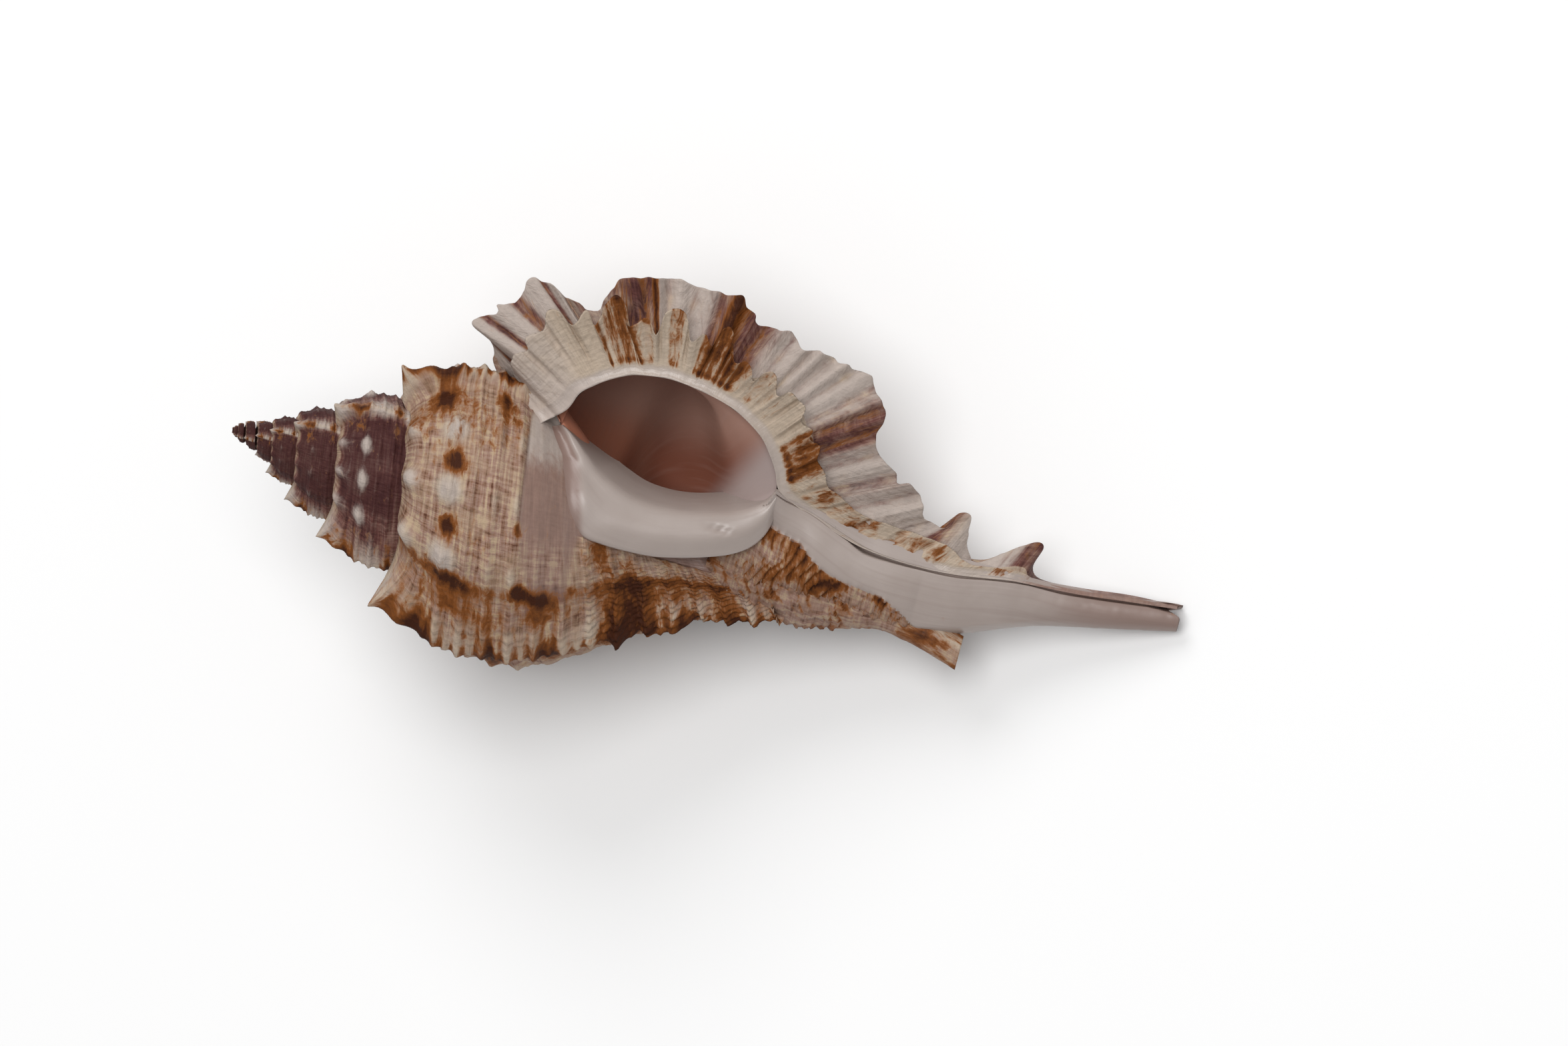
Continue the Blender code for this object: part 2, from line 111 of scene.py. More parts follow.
def ease(x, start, stop):
    """0 before start, 1 after stop, with a soft turn at both."""
    f = np.clip((x - start) / (stop - start), 0, 1)
    return f * f * (3 - 2 * f)


def hill(x, middle, width):
    """1 at the middle, and less further away."""
    return np.exp(-((x - middle) / width) ** 2)


def plateau(x, start, stop, soft):
    """1 from start to stop, with soft sides."""
    return ease(x, start - soft, start + soft) * (1 - ease(x, stop - soft, stop + soft))


def grain(points, size, seed=0):
    """Smooth random values from -1 to 1 that change over `size`, at places of shape (..., 3).

    The large odd numbers scramble each corner's place into a value that looks random.
    """
    p = np.asarray(points, float) / size
    cell = np.floor(p).astype(np.int64)
    f = p - cell
    f = f * f * (3 - 2 * f)
    total = np.zeros(p.shape[:-1])
    for corner in np.ndindex(2, 2, 2):
        weight = np.ones(p.shape[:-1])
        key = np.full(p.shape[:-1], seed * 144665, dtype=np.int64)
        for axis, (step, prime) in enumerate(zip(corner, (374761393, 668265263, 974634777))):
            weight = weight * (f[..., axis] if step else 1 - f[..., axis])
            key = key + (cell[..., axis] + step) * prime
        key = (key ^ (key >> 13)) * 1274126177 & 0x7FFFFFFF
        total += weight * ((key ^ (key >> 16)) & 0xFFFF) / 0xFFFF
    return 2 * total - 1


# %% [markdown]
# ## From a grid of points to a piece
# Every patch of the shell is a grid: one direction follows the growth, the other runs across it.
# Each point also carries four numbers for the painter, named stain: rust, mauve, white and gloss.
# The surface's own coordinates, in millimetres along and across the streaks, go into a UV map, so
# that the material's noise can be drawn out along the growth as the pigment of a real shell is.

# %% A grid becomes an object
FLOOR_GAP = 0.02        # in mm, so that no point is buried in the floor
MERGE_GAP = 0.002       # in mm, and points closer than this become one


def skin(name, points, stain, streak, finish, close=False, leave_out=None, second=None, where=None):
    """An object from a grid of points in mm, with its stain and its (along, across) coordinates.

    Faces whose first point is marked in `where` get the second finish.
    """
    rows, columns = points.shape[:2]
    index = np.arange(rows * columns).reshape(rows, columns)
    quads = np.stack([index[:-1, :-1], index[:-1, 1:], index[1:, 1:], index[1:, :-1]], axis=-1)
    quads = quads.reshape(-1, 4)
    if leave_out is not None:
        quads = quads[~leave_out.reshape(-1)[quads].all(axis=1)]
    used, quads = np.unique(quads, return_inverse=True)
    quads = quads.reshape(-1, 4)
    slots = np.zeros(len(quads), int)
    if where is not None:
        slots = where.reshape(-1)[used][quads[:, 0]].astype(int)
    places = to_room(points.reshape(-1, 3)[used])
    places[:, 2] = np.maximum(places[:, 2], FLOOR_GAP * MM)
    data = bpy.data.meshes.new(name)
    data.from_pydata(places.tolist(), [], quads.tolist())
    data.polygons.foreach_set("material_index", slots)
    paint = data.attributes.new("stain", "FLOAT_COLOR", "POINT")
    paint.data.foreach_set("color", stain.reshape(-1, 4)[used].astype(np.float32).ravel())
    uv = data.uv_layers.new(name="streak")
    uv.data.foreach_set("uv", streak.reshape(-1, 2)[used][quads.ravel()].astype(np.float32).ravel())
    mesh = bmesh.new()
    mesh.from_mesh(data)
    if close:
        bmesh.ops.remove_doubles(mesh, verts=mesh.verts, dist=MERGE_GAP * MM)
    bmesh.ops.recalc_face_normals(mesh, faces=mesh.faces)
    for face in mesh.faces:
        face.smooth = True
    mesh.to_mesh(data)
    mesh.free()
    made = bpy.data.objects.new(name, data)
    bpy.context.scene.collection.objects.link(made)
    data.materials.append(finish)
    if second is not None:
        data.materials.append(second)
    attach(made, "root")
    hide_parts("shell")
    print(name, "has", sum(len(face.vertices) - 2 for face in data.polygons), "triangles")


def stains(shape, rust=0.0, mauve=0.0, white=0.0, gloss=0.0):
    """The four painter's numbers for each point of a grid, kept between 0 and 1."""
    return np.stack([np.clip(np.broadcast_to(v, shape), 0, 1) for v in (rust, mauve, white, gloss)], -1)


# %% [markdown]
# ## Helpers for finishes
# A material is a small graph of nodes. Writing the graph in code is easier to repeat than drawing
# it, and each noise can be given its size in millimetres. Noise is stretched by multiplying the
# streak coordinates, long along the growth and short across it.

# %% Node helpers
class Graph:
    """A short way to add nodes to a material and to join them."""

    def __init__(self, name):
        self.made = bpy.data.materials.new(name)
        self.made.use_nodes = True
        self.tree = self.made.node_tree
        self.shader = self.tree.nodes["Principled BSDF"]

    def add(self, kind, inputs=(), **settings):
        node = self.tree.nodes.new(kind)
        for key, value in settings.items():
            setattr(node, key, value)
        for key, value in dict(inputs).items():
            self.put(node.inputs[key], value)
        return node

    def put(self, socket, value):
        if isinstance(value, bpy.types.NodeSocket):
            self.tree.links.new(value, socket)
        elif socket.type == "RGBA":
            socket.default_value = (*value, 1.0)
        else:
            socket.default_value = value

    def maths(self, kind, a, b=0.0, c=0.0):
        return self.add("ShaderNodeMath", {0: a, 1: b, 2: c}, operation=kind).outputs[0]

    def noise(self, vector, scale, stretch=(1, 1, 1), detail=3.0, rough=0.55, warp=0.0):
        placed = self.add("ShaderNodeVectorMath", {0: vector, 1: stretch}, operation="MULTIPLY")
        node = self.add("ShaderNodeTexNoise", {"Vector": placed.outputs[0], "Scale": scale,
                                               "Detail": detail, "Roughness": rough,
                                               "Distortion": warp})
        return node.outputs["Fac"]

    def ramp(self, value, *stops):
        node = self.add("ShaderNodeValToRGB", {"Fac": value})
        points = node.color_ramp.elements
        while len(points) < len(stops):
            points.new(0.5)
        for point, (place, colour) in zip(points, stops):
            point.position = place
            point.color = (*colour, 1.0)
        return node.outputs["Color"]

    def mix(self, share, one, two, kind="MIX"):
        node = self.add("ShaderNodeMix", data_type="RGBA", blend_type=kind)
        self.put(node.inputs[0], share)
        self.put(node.inputs[6], one)
        self.put(node.inputs[7], two)
        return node.outputs[2]

    def remap(self, value, low, high, to_low=0.0, to_high=1.0):
        node = self.add("ShaderNodeMapRange", {"Value": value, "From Min": low, "From Max": high,
                                               "To Min": to_low, "To Max": to_high},
                        interpolation_type="SMOOTHSTEP")
        return node.outputs["Result"]

    def stained(self):
        """The place in space, the streak coordinates and the four numbers of the stain."""
        place = self.add("ShaderNodeTexCoord").outputs["Object"]
        lines = self.add("ShaderNodeUVMap", uv_map="streak").outputs["UV"]
        paint = self.add("ShaderNodeAttribute", attribute_name="stain")
        split = self.add("ShaderNodeSeparateColor", {"Color": paint.outputs["Color"]})
        return place, lines, *split.outputs, paint.outputs["Alpha"]

    def bump(self, height, strength, distance):
        node = self.add("ShaderNodeBump", {"Height": height, "Strength": strength, "Distance": distance})
        self.put(self.shader.inputs["Normal"], node.outputs["Normal"])


# %% [markdown]
# ## The outside finish
# Outside, the shell is cream and tan with fine brown lines that follow the spiral cords. Rust-brown
# and mauve pigment lies in patches on the varices and between the knobs. The paint numbers say
# roughly where each pigment is, and noise breaks its edges up, as it would be dull and clean
# otherwise. The bump has two parts: chalky pits everywhere, and threads along the growth. Bare shell
# reflects little, so the specular level rises only with the glaze, and dark pigment stays dark.

# %% Ribbed outside
CREAM = (0.41, 0.300, 0.200)
TAN = (0.235, 0.130, 0.085)
UMBER = (0.100, 0.040, 0.023)
PINKISH = (0.295, 0.182, 0.145)
MAUVE = (0.125, 0.048, 0.040)
DARK_MAUVE = (0.045, 0.014, 0.014)
OCHRE = (0.33, 0.155, 0.055)
RUST = (0.200, 0.064, 0.013)
DARK_RUST = (0.045, 0.012, 0.004)
PORCELAIN = (0.43, 0.365, 0.325)
GREY_GLAZE = (0.225, 0.142, 0.115)
WARM_WHITE = (0.44, 0.355, 0.275)


def outside_finish(name):
    g = Graph(name)
    place, lines, rust, mauve, white, gloss = g.stained()
    thread = g.noise(lines, 1.0, (0.13, 1.9, 1.0), 4.0, 0.65)
    weft = g.noise(lines, 1.0, (1.7, 0.28, 1.0), 3.0, 0.6)
    cloud = g.noise(place, 260.0, detail=4.0, rough=0.6)
    fleck = g.noise(lines, 1.0, (0.55, 1.2, 1.0), 4.0, 0.65, 0.6)
    speck = g.noise(place, 1500.0, detail=2.0)
    woven = g.maths("MULTIPLY_ADD", weft, 0.4, g.maths("MULTIPLY", thread, 0.6))
    ground = g.ramp(woven, (0.385, UMBER), (0.445, TAN), (0.505, PINKISH), (0.575, CREAM))
    ground = g.mix(g.remap(cloud, 0.42, 0.62, 0.0, 0.35), ground, CREAM)
    purple = g.ramp(g.maths("MULTIPLY_ADD", cloud, 0.35, g.maths("MULTIPLY", woven, 0.65)),
                    (0.40, DARK_MAUVE), (0.50, MAUVE), (0.66, PINKISH))
    darkest = g.mix(g.remap(mauve, 0.75, 1.0, 0.0, 0.75), purple, DARK_MAUVE)
    share = g.remap(g.maths("ADD", mauve, g.maths("MULTIPLY_ADD", cloud, 0.7, -0.35)), 0.15, 0.75)
    colour = g.mix(share, ground, darkest)
    veil = g.mix(g.remap(thread, 0.35, 0.65, 0.0, 0.4), GREY_GLAZE, PINKISH)
    colour = g.mix(g.remap(gloss, 0.3, 0.95, 0.0, 0.85), colour, veil)
    pale = g.maths("ADD", white, g.maths("MULTIPLY_ADD", fleck, 0.7, -0.35))
    cool = g.remap(g.maths("MULTIPLY_ADD", cloud, 0.4, mauve), 0.22, 0.62)
    china = g.mix(cool, WARM_WHITE, PORCELAIN)
    colour = g.mix(g.remap(pale, 0.15, 0.8, 0.0, 0.95), colour, china)
    burnt = g.maths("ADD", rust, g.maths("MULTIPLY_ADD", fleck, 1.3, -0.65))
    brown = g.ramp(burnt, (0.22, OCHRE), (0.50, RUST), (0.95, DARK_RUST))
    colour = g.mix(g.remap(burnt, 0.16, 0.58), colour, brown)
    shade = g.maths("MULTIPLY_ADD", speck, 0.5, 0.75)
    shades = g.add("ShaderNodeCombineColor", {0: shade, 1: shade, 2: shade}).outputs[0]
    colour = g.mix(0.5, colour, shades, "MULTIPLY")
    g.put(g.shader.inputs["Base Color"], colour)
    g.put(g.shader.inputs["Roughness"], g.remap(g.maths("ADD", gloss, g.maths("MULTIPLY", cloud, -0.2)),
                                                0.0, 0.8, 0.66, 0.27))
    g.put(g.shader.inputs["Specular IOR Level"], g.remap(gloss, 0.2, 0.9, 0.12, 0.5))
    growth_lines = g.noise(lines, 1.0, (2.4, 0.25, 1.0), 2.0)
    relief = g.maths("ADD", g.maths("MULTIPLY", g.maths("ADD", thread, growth_lines), 0.9), speck)
    rough_part = g.maths("MULTIPLY", relief, g.maths("SUBTRACT", 1.0, g.maths("MULTIPLY", gloss, 0.85)))
    g.bump(rough_part, 0.6, 0.28 * MM)
    return g.made


ribbed_outside = outside_finish("ribbed_outside")
print("made", ribbed_outside.name)

# %% [markdown]
# ## The porcelain finish
# The inner lip and the canal are covered with a thin glaze that the snail lays down last. It is
# white with a breath of pink and grey, almost smooth, and it shines. A clear coat over a slightly
# rough base gives that depth better than one glossy layer, and the coat's weight is a plain number
# on the shader, because it is the same all over.

# %% Porcelain lip
GLAZE_SHADE, GLAZE_LIGHT = (0.315, 0.255, 0.228), (0.36, 0.297, 0.268)
GLAZE_LINE = (0.255, 0.190, 0.168)
GLAZE_MAUVE = (0.215, 0.140, 0.116)
GLAZE_WHITE = (0.375, 0.318, 0.288)


def porcelain_finish(name):
    g = Graph(name)
    place, lines, rust, mauve, white, _ = g.stained()
    cloud = g.noise(place, 180.0, detail=3.0)
    line = g.noise(lines, 1.0, (0.06, 1.6, 1.0), 3.0)
    fleck = g.noise(place, 900.0, detail=3.0)
    body = g.ramp(cloud, (0.35, GLAZE_SHADE), (0.65, GLAZE_LIGHT))
    body = g.mix(g.remap(line, 0.45, 0.7, 0.0, 0.45), body, GLAZE_LINE)
    body = g.mix(g.maths("MULTIPLY", mauve, 0.95), body, GLAZE_MAUVE)
    burnt = g.maths("ADD", rust, g.maths("MULTIPLY_ADD", fleck, 1.2, -0.6))
    brown = g.ramp(burnt, (0.2, OCHRE), (0.55, RUST), (0.9, DARK_RUST))
    body = g.mix(g.remap(burnt, 0.2, 0.6), body, brown)
    body = g.mix(g.maths("MULTIPLY", white, 0.7), body, GLAZE_WHITE)
    g.put(g.shader.inputs["Base Color"], body)
    g.put(g.shader.inputs["Roughness"], g.remap(cloud, 0.3, 0.7, 0.30, 0.42))
    g.shader.inputs["Coat Weight"].default_value = 0.25
    g.shader.inputs["Coat Roughness"].default_value = 0.28
    relief = g.maths("ADD", line, g.maths("MULTIPLY", fleck, 0.3))
    g.bump(relief, 0.25, 0.15 * MM)
    return g.made


porcelain = porcelain_finish("porcelain_glaze")
print("made", porcelain.name)

# %% [markdown]
# ## The inside finish
# Inside the opening the glaze is matt and purple-brown, and it turns to lilac-grey near the canal.
# The paint numbers carry that change, and a soft cloud keeps it from being one flat colour. Here they
# mean the sill, the upper wall, the lilac end and the deep part. The sill catches the light and is
# painted darker, which is painted shade. The deep part gets little light and so is given a brighter
# red, which is painted light.

# %% Purple inside
INSIDE_BROWN, INSIDE_TAN = (0.29, 0.150, 0.112), (0.35, 0.185, 0.142)
UPPER_WALL = (0.56, 0.350, 0.280)
# Painted shade for the sill, which catches the light, and painted light for the deep part, which gets little.
SILL_PAINTED_SHADE = (0.19, 0.062, 0.036)
DEEP_PAINTED_LIGHT = (0.52, 0.205, 0.125)
INSIDE_LINE = (0.40, 0.26, 0.22)
LILAC = (0.37, 0.290, 0.272)


def inside_finish(name):
    g = Graph(name)
    place, lines, sill, upper, lilac, deep = g.stained()
    cloud = g.noise(place, 110.0, detail=3.0)
    line = g.noise(lines, 1.0, (0.08, 0.9, 1.0), 3.0)
    body = g.ramp(cloud, (0.35, INSIDE_BROWN), (0.65, INSIDE_TAN))
    body = g.mix(g.maths("MULTIPLY", upper, 0.9), body, UPPER_WALL)
    # Painted shade: the lit sill is painted darker brown. Painted light: the deep part, which gets little
    # light, is painted a brighter red.
    body = g.mix(sill, body, SILL_PAINTED_SHADE)
    body = g.mix(deep, body, DEEP_PAINTED_LIGHT)
    body = g.mix(g.remap(line, 0.45, 0.75, 0.0, 0.15), body, INSIDE_LINE)
    body = g.mix(lilac, body, LILAC)
    g.put(g.shader.inputs["Base Color"], body)
    g.put(g.shader.inputs["Roughness"], g.remap(cloud, 0.3, 0.7, 0.42, 0.55))
    g.bump(line, 0.2, 0.15 * MM)
    return g.made


purple_inside = inside_finish("purple_inside")
print("made", purple_inside.name)

# %% [markdown]
# ## How the tube winds
# Each whorl is 1.655 times as big as the one before, which makes a logarithmic spiral. The angle
# grows with the shell, and the size follows from it. One outline of a whorl, from the seam to the
# base, serves for every turn. Height tables for the varices are written at the same scale, which is
# the size that a whorl has at UNIT_ANGLE. Angles are degrees from the outer lip, and older is less.

# %% Rules of growth
WHORL_RATIO = 1.655
UNIT_ANGLE = -270.0
APEX_ANGLE, BODY_START, BODY_END = -3300.0, -345.0, 16.0
VARICES = np.array([-3200.0, -3080.0, -2965.0, -2850.0, -2735.0, -2620.0, -2505.0, -2390.0, -2275.0,
                    -2160.0, -2045.0, -1930.0, -1820.0, -1710.0, -1598.0, -1486.0, -1370.0, -1254.0,
                    -1137.0, -1020.0, -905.0, -790.0, -673.0, -560.0, -440.0, -330.0, -202.0, -110.0,
                    21.0])
WHORL_OUTLINE = ((20.1, 9.4), (21.0, 10.9), (22.5, 12.3), (24.5, 13.7), (26.5, 14.7), (29.0, 15.4),
                 (31.5, 15.5), (33.5, 15.2), (36.0, 14.2), (39.0, 12.4), (41.5, 10.5), (44.0, 8.6),
                 (46.5, 7.0), (49.0, 5.8), (52.0, 4.8), (56.0, 4.1), (60.0, 3.2))
VARIX_HEIGHT = ((19.0, 0.4), (21.5, 1.6), (24.5, 3.1), (26.5, 2.6), (29.0, 2.1), (32.0, 1.7),
                (35.0, 1.6), (38.0, 1.9), (40.5, 2.3), (42.4, 2.1), (44.2, 3.7), (46.2, 2.6),
                (48.2, 3.5), (49.5, 2.9), (50.4, 3.2), (51.8, 1.4), (53.2, 2.3), (54.2, 1.7),
                (55.3, 2.0), (60.0, 1.6))
CORD_SPACING, CORD_PHASE = 2.65, 25.7
KNOB_PLACES, SPOT_PLACES = (0.25, 0.47, 0.70), (0.37, 0.59)
SMALL_SPOT_PLACES = (0.545, 0.75)


def growth(angle):
    return WHORL_RATIO ** ((angle - UNIT_ANGLE) / 360.0)


def canal_bend(x):
    """How far the axis has bent towards the outer lip at x."""
    return 7.0 * np.clip((x - 58.0) / 52.0, 0, None) ** 1.5


def around_axis(x, radius, angle):
    turn = np.radians(angle)
    return np.stack([x, radius * np.cos(turn) + canal_bend(x), radius * np.sin(turn)], -1)


print("a turn before the lip, a whorl is", round(1 / WHORL_RATIO, 2), "of its last size")

# %% [markdown]
# ## Varices, knobs and cords
# On the real shell a varix swells slowly and ends in a steep, scalloped crest. Between two varices
# stand three rows of knobs, and fine cords run round the whorl. All of it is added to the radius,
# so the pattern shrinks towards the apex with everything else.

# %% Ornament along the growth
FLARE = 25.0        # a varix starts to rise this many degrees before its crest


def varix_shape(angle):
    """The varix's height and its apron (0 to 1), the part of the interval gone by, and its span."""
    crest, apron = np.zeros_like(angle), np.zeros_like(angle)
    for place in VARICES[:-1]:
        ahead = angle - place
        before = np.clip(1 + ahead / FLARE, 0, 1) ** 1.9
        crest = np.maximum(crest, np.where(ahead < 0, before, hill(ahead, 0, 2.7)))
        apron = np.maximum(apron, np.where(ahead < 0, hill(ahead, 0, 22.0), hill(ahead, 0, 4.0)))
    after = np.clip(np.searchsorted(VARICES, angle), 1, len(VARICES) - 1)
    span = VARICES[after] - VARICES[after - 1]
    return crest, apron, (angle - VARICES[after - 1]) / span, span


def rows_of(part, span, places, width):
    """1 on each of the places between two varices, falling off over `width` degrees."""
    rise = np.zeros_like(part)
    for place in places:
        rise = np.maximum(rise, hill((part - place) * span, 0, width))
    return rise


def cords(x, spacing=CORD_SPACING, sharp=1.6):
    """Narrow rounded ridges round the whorl, from 0 to 1."""
    return (0.5 + 0.5 * np.cos(2 * np.pi * (x - CORD_PHASE) / spacing)) ** sharp


# %% [markdown]
# ## Glaze over the old whorl
# Beside the opening the snail has laid a thin smooth glaze over the previous whorl, and the ribs
# there only show through faintly. The glaze has a curved edge that can be read off as a few points.
# Within it the ornament is made lower, and the paint turns grey-mauve and shiny.

# %% Where the glaze is
GLAZE_EDGE = ((-9.5, 37.6), (-8.5, 37.0), (-6.0, 35.5), (-2.0, 34.3), (2.0, 33.6), (6.0, 33.0),
              (10.0, 32.4), (13.2, 32.0), (15.0, 31.8))


def glaze_cover(points):
    """1 under the glaze and 0 outside it, for points of the last whorl."""
    x, y, z = points[..., 0], points[..., 1], points[..., 2]
    left = ease(x - table(y, GLAZE_EDGE), -0.15, 0.45)
    right = 1 - ease(x - np.where(y < -1.5, 41.2 - 0.05 * y, 60.0), -0.6, 0.6)
    ends = ease(y, -10.0, -8.0) * (1 - ease(y, 10.0, 12.0)) * (1 - 0.45 * ease(-y, 1.0, 5.0))
    return left * right * ends * ease(z, 1.0, 3.0)


# %% [markdown]
# ## One formula for every whorl
# This function gives the surface at any growth angle and any place across the whorl, together with
# its paint. Lamellae are thin growth steps: a saw-tooth wave that climbs slowly and drops, bent a
# little by grain. On the base they run obliquely and stand out as scales.

# %% The whorl's surface
def whorl_surface(angle, x, glazed=False):
    radius = np.interp(x, WHORL_LINE[:, 0], WHORL_LINE[:, 1])
    size = growth(angle)
    bare = around_axis(size * x, size * radius, angle)
    crest, apron, part, span = varix_shape(angle)
    wander = grain(bare / size[..., None], 3.0, 1)
    fine = grain(bare / size[..., None], 0.8, 2)
    shoulder = hill(x, 21.8, 1.4)
    knobs = rows_of(part, span, KNOB_PLACES, 6.5)
    base = ease(x, 39.5, 43.0)
    scale_step = np.mod(angle / 3.4 + 0.8 * wander + 0.35 * base * (x - 40.0), 1.0)
    main, between, thread = cords(x), cords(x + 0.5 * CORD_SPACING), cords(x, CORD_SPACING / 4, 1.0)
    frills = cords(x, CORD_SPACING / 2, 1.0) - 0.5
    out = crest * (table(x, VARIX_HEIGHT) * (0.94 + 0.10 * main) + 1.4 * shoulder)
    out += crest ** 2 * (0.20 * frills * (1 + 0.8 * wander) + 0.15 * fine)
    out += crest ** 2 * (0.9 * hill(x, 21.2, 0.5) - 0.5 * hill(x, 22.5, 0.45))
    flange = ease(part * span, span - FLARE, span - 6.0) * (1 - crest ** 4)
    relief = (0.42 * main + 0.24 * between + 0.08 * thread) * (1 - 0.5 * crest ** 3)
    relief += flange * (0.35 * main + 0.15 * between)
    relief += knobs * (0.95 * hill(x, CORD_PHASE, 1.35) + 0.38 * main * hill(x, 31.0, 6.0))
    relief += 0.75 * knobs * hill(x, 21.7, 0.9) * (1 - crest)
    relief += (0.05 + 0.26 * apron * (1 - 0.7 * crest ** 3) + 0.40 * base) * scale_step * (0.5 + 0.5 * main)
    relief += 0.10 * wander + 0.07 * fine
    relief -= 0.75 * hill(x, 20.2, 0.7) + 0.55 * ease(x, 32.0, 34.0) * (1 - ease(angle, -420.0, -345.0))
    cover = glaze_cover(bare) if glazed else np.zeros_like(x)
    relief = relief * (1 - 0.80 * cover) + 0.22 * cover
    lean = 3.6 * crest * shoulder + 0.9 * knobs * hill(x, 21.4, 1.0)
    points = around_axis(size * (x - lean), size * (radius + out + relief), angle)
    return points, dict(crest=crest, apron=apron, part=part, span=span, knobs=knobs, base=base,
                        main=main, between=between, wander=wander, cover=cover,
                        flange=flange, angle=angle, x=x, points=points)


WHORL_LINE = smooth(WHORL_OUTLINE, 200)


def whorl_height(x, y):
    """Z of the last whorl's plain surface over a place that faces the viewer."""
    angle = np.full(np.shape(x), UNIT_ANGLE)
    for _ in range(8):
        size = growth(angle)
        radius = size * np.interp(x / size, WHORL_LINE[:, 0], WHORL_LINE[:, 1])
        angle = UNIT_ANGLE - np.degrees(np.arcsin(np.clip(y / radius, -0.99, 0.99)))
    return np.sqrt(np.maximum(radius ** 2 - np.asarray(y) ** 2, 0))


# %% [markdown]
# ## Paint for the whorls
# The pigment follows rules as well. The early whorls are purple-brown with pale cords, and the last
# one and a half turns are cream. Knobs are white, with a dark spot between each two. Bands of rust
# cross each varix, and its gutter is mauve.

# %% The whorl's paint
def whorl_paint(made):
    x, angle, crest, apron = made["x"], made["angle"], made["crest"], made["apron"]
    main, between, base, cover = made["main"], made["between"], made["base"], made["cover"]
    part, span, flange = made["part"], made["span"], made["flange"]
    since = part * span
    young = 1 - ease(angle, -620.0, -480.0)
    baby = 1 - ease(angle, -960.0, -760.0)
    old = 1 - young
    near = np.maximum(crest, 0.8 * apron * young)
    bands = np.maximum.reduce([hill(x, 24.2, 1.4), 0.85 * hill(x, 31.5, 1.1), 0.8 * hill(x, 37.6, 1.2),
                               hill(x, 44.0, 1.3), 0.8 * hill(x, 50.6, 1.3), 0.6 * hill(x, 55.5, 1.5)])
    gap = (1 - main) * (1 - between)
    gutter = hill(part, 0.765, 0.035) * (1 - crest)
    inner_flange = plateau(part, 0.77, 0.88, 0.03) * (1 - crest)
    dark_parts = 0.40 + 0.65 * hill(x, 27.0, 2.2) + 0.70 * hill(x, 36.6, 1.7)
    scallops = 0.5 + 0.5 * np.cos(2 * np.pi * (x - CORD_PHASE + 0.6) / (CORD_SPACING / 2))
    spots = 1.1 * rows_of(part, span, SPOT_PLACES, 5.6) * hill(x, 26.0, 1.1)
    spots += 0.9 * rows_of(part, span, SMALL_SPOT_PLACES, 4.0) * hill(x, 34.3, 0.8)
    rust = 0.95 * bands * np.maximum.reduce([crest, 0.45 * apron, 0.95 * hill(since, 10.0, 9.0)])
    rust += old * (0.55 * crest ** 3 * (0.4 + 0.6 * scallops) + 0.26 * plateau(part, 0.08, 0.30, 0.06))
    rust += spots * old * (1 - crest) + 0.30 * base * bands * hill(made["wander"], 0.5, 0.6)
    # Brown between the cords: the shell's own fine lines, and on the flange partly painted shade in the
    # grooves, where the cords' relief shows little.
    rust += (0.24 + 0.50 * flange) * gap ** 1.3 * ease(x, 20.5, 22.0) * (1 - 0.5 * base)
    rust += old * dark_parts * (0.95 * gutter + 0.45 * inner_flange) + 0.22 * made["wander"] + 0.14 * base
    rust += base * (0.65 * hill(x, 46.0, 1.7) * ease(part, 0.45, 0.8) + 0.22 * hill(x, 43.0, 1.5))
    rust *= (1 - 0.6 * young * (1 - crest)) * (1 - cover)
    mauve = 0.97 * young * (1 - 0.9 * near) * ease(x, 20.6, 22.0) + 0.12 * baby * (1 - near)
    # On the flange the mauve between the cords is partly painted shade as well.
    mauve += old * dark_parts * (0.6 * gutter + 0.50 * inner_flange) + 0.35 * flange * gap
    mauve += 0.18 * base * (1 - crest) + 0.10 * made["wander"] + 0.22 * gap
    pale_rows = hill(x, CORD_PHASE, 1.7 - 0.5 * young) + 0.7 * hill(x, 21.6, 0.9)
    mauve += 0.35 * made["knobs"] * pale_rows * old
    white = 1.25 * made["knobs"] * pale_rows * (1 - crest) * (1 - 0.35 * young)
    white += 0.65 * made["knobs"] * main * hill(x, 33.5, 4.0) * old
    white += (0.40 * crest + (0.30 + 0.25 * young) * near) * (1 - bands)
    white += 0.16 * main * young * (1 - crest)
    white += 0.55 * hill(x, 21.4, 1.0) * crest + 0.8 * crest * hill(x, 48.6, 1.2)
    white += 0.30 * flange * main * old + 0.35 * base * hill(made["wander"], -0.6, 0.4)
    white *= 1 - 0.7 * baby * (1 - near)
    high = ease(made["points"][..., 1], 3.0, 8.0)
    white = white * (1 - cover) + cover * (0.06 + 0.7 * high)
    mauve += 0.35 * cover
    return stains(x.shape, rust, mauve, white, 0.12 + 0.83 * cover)


def streak_map(angle, x):
    """Places along the growth and across it, in millimetres of a whorl at scale 1."""
    return np.stack([15.4 * np.radians(angle), x], -1)


# %% [markdown]
# ## The spire
# The early whorls make the pointed spire. Each turn's lower part is hidden by the next turn, so the
# strip stops just past the seam. In millimetres the steps get shorter on small whorls, but not in
# proportion, because nobody sees a hundredth of a millimetre. The first turns form a blunt bulb.

# %% Build the spire
SPIRE_STOP = 34.2
first_step = 1.1      # in degrees, at the end of the spire

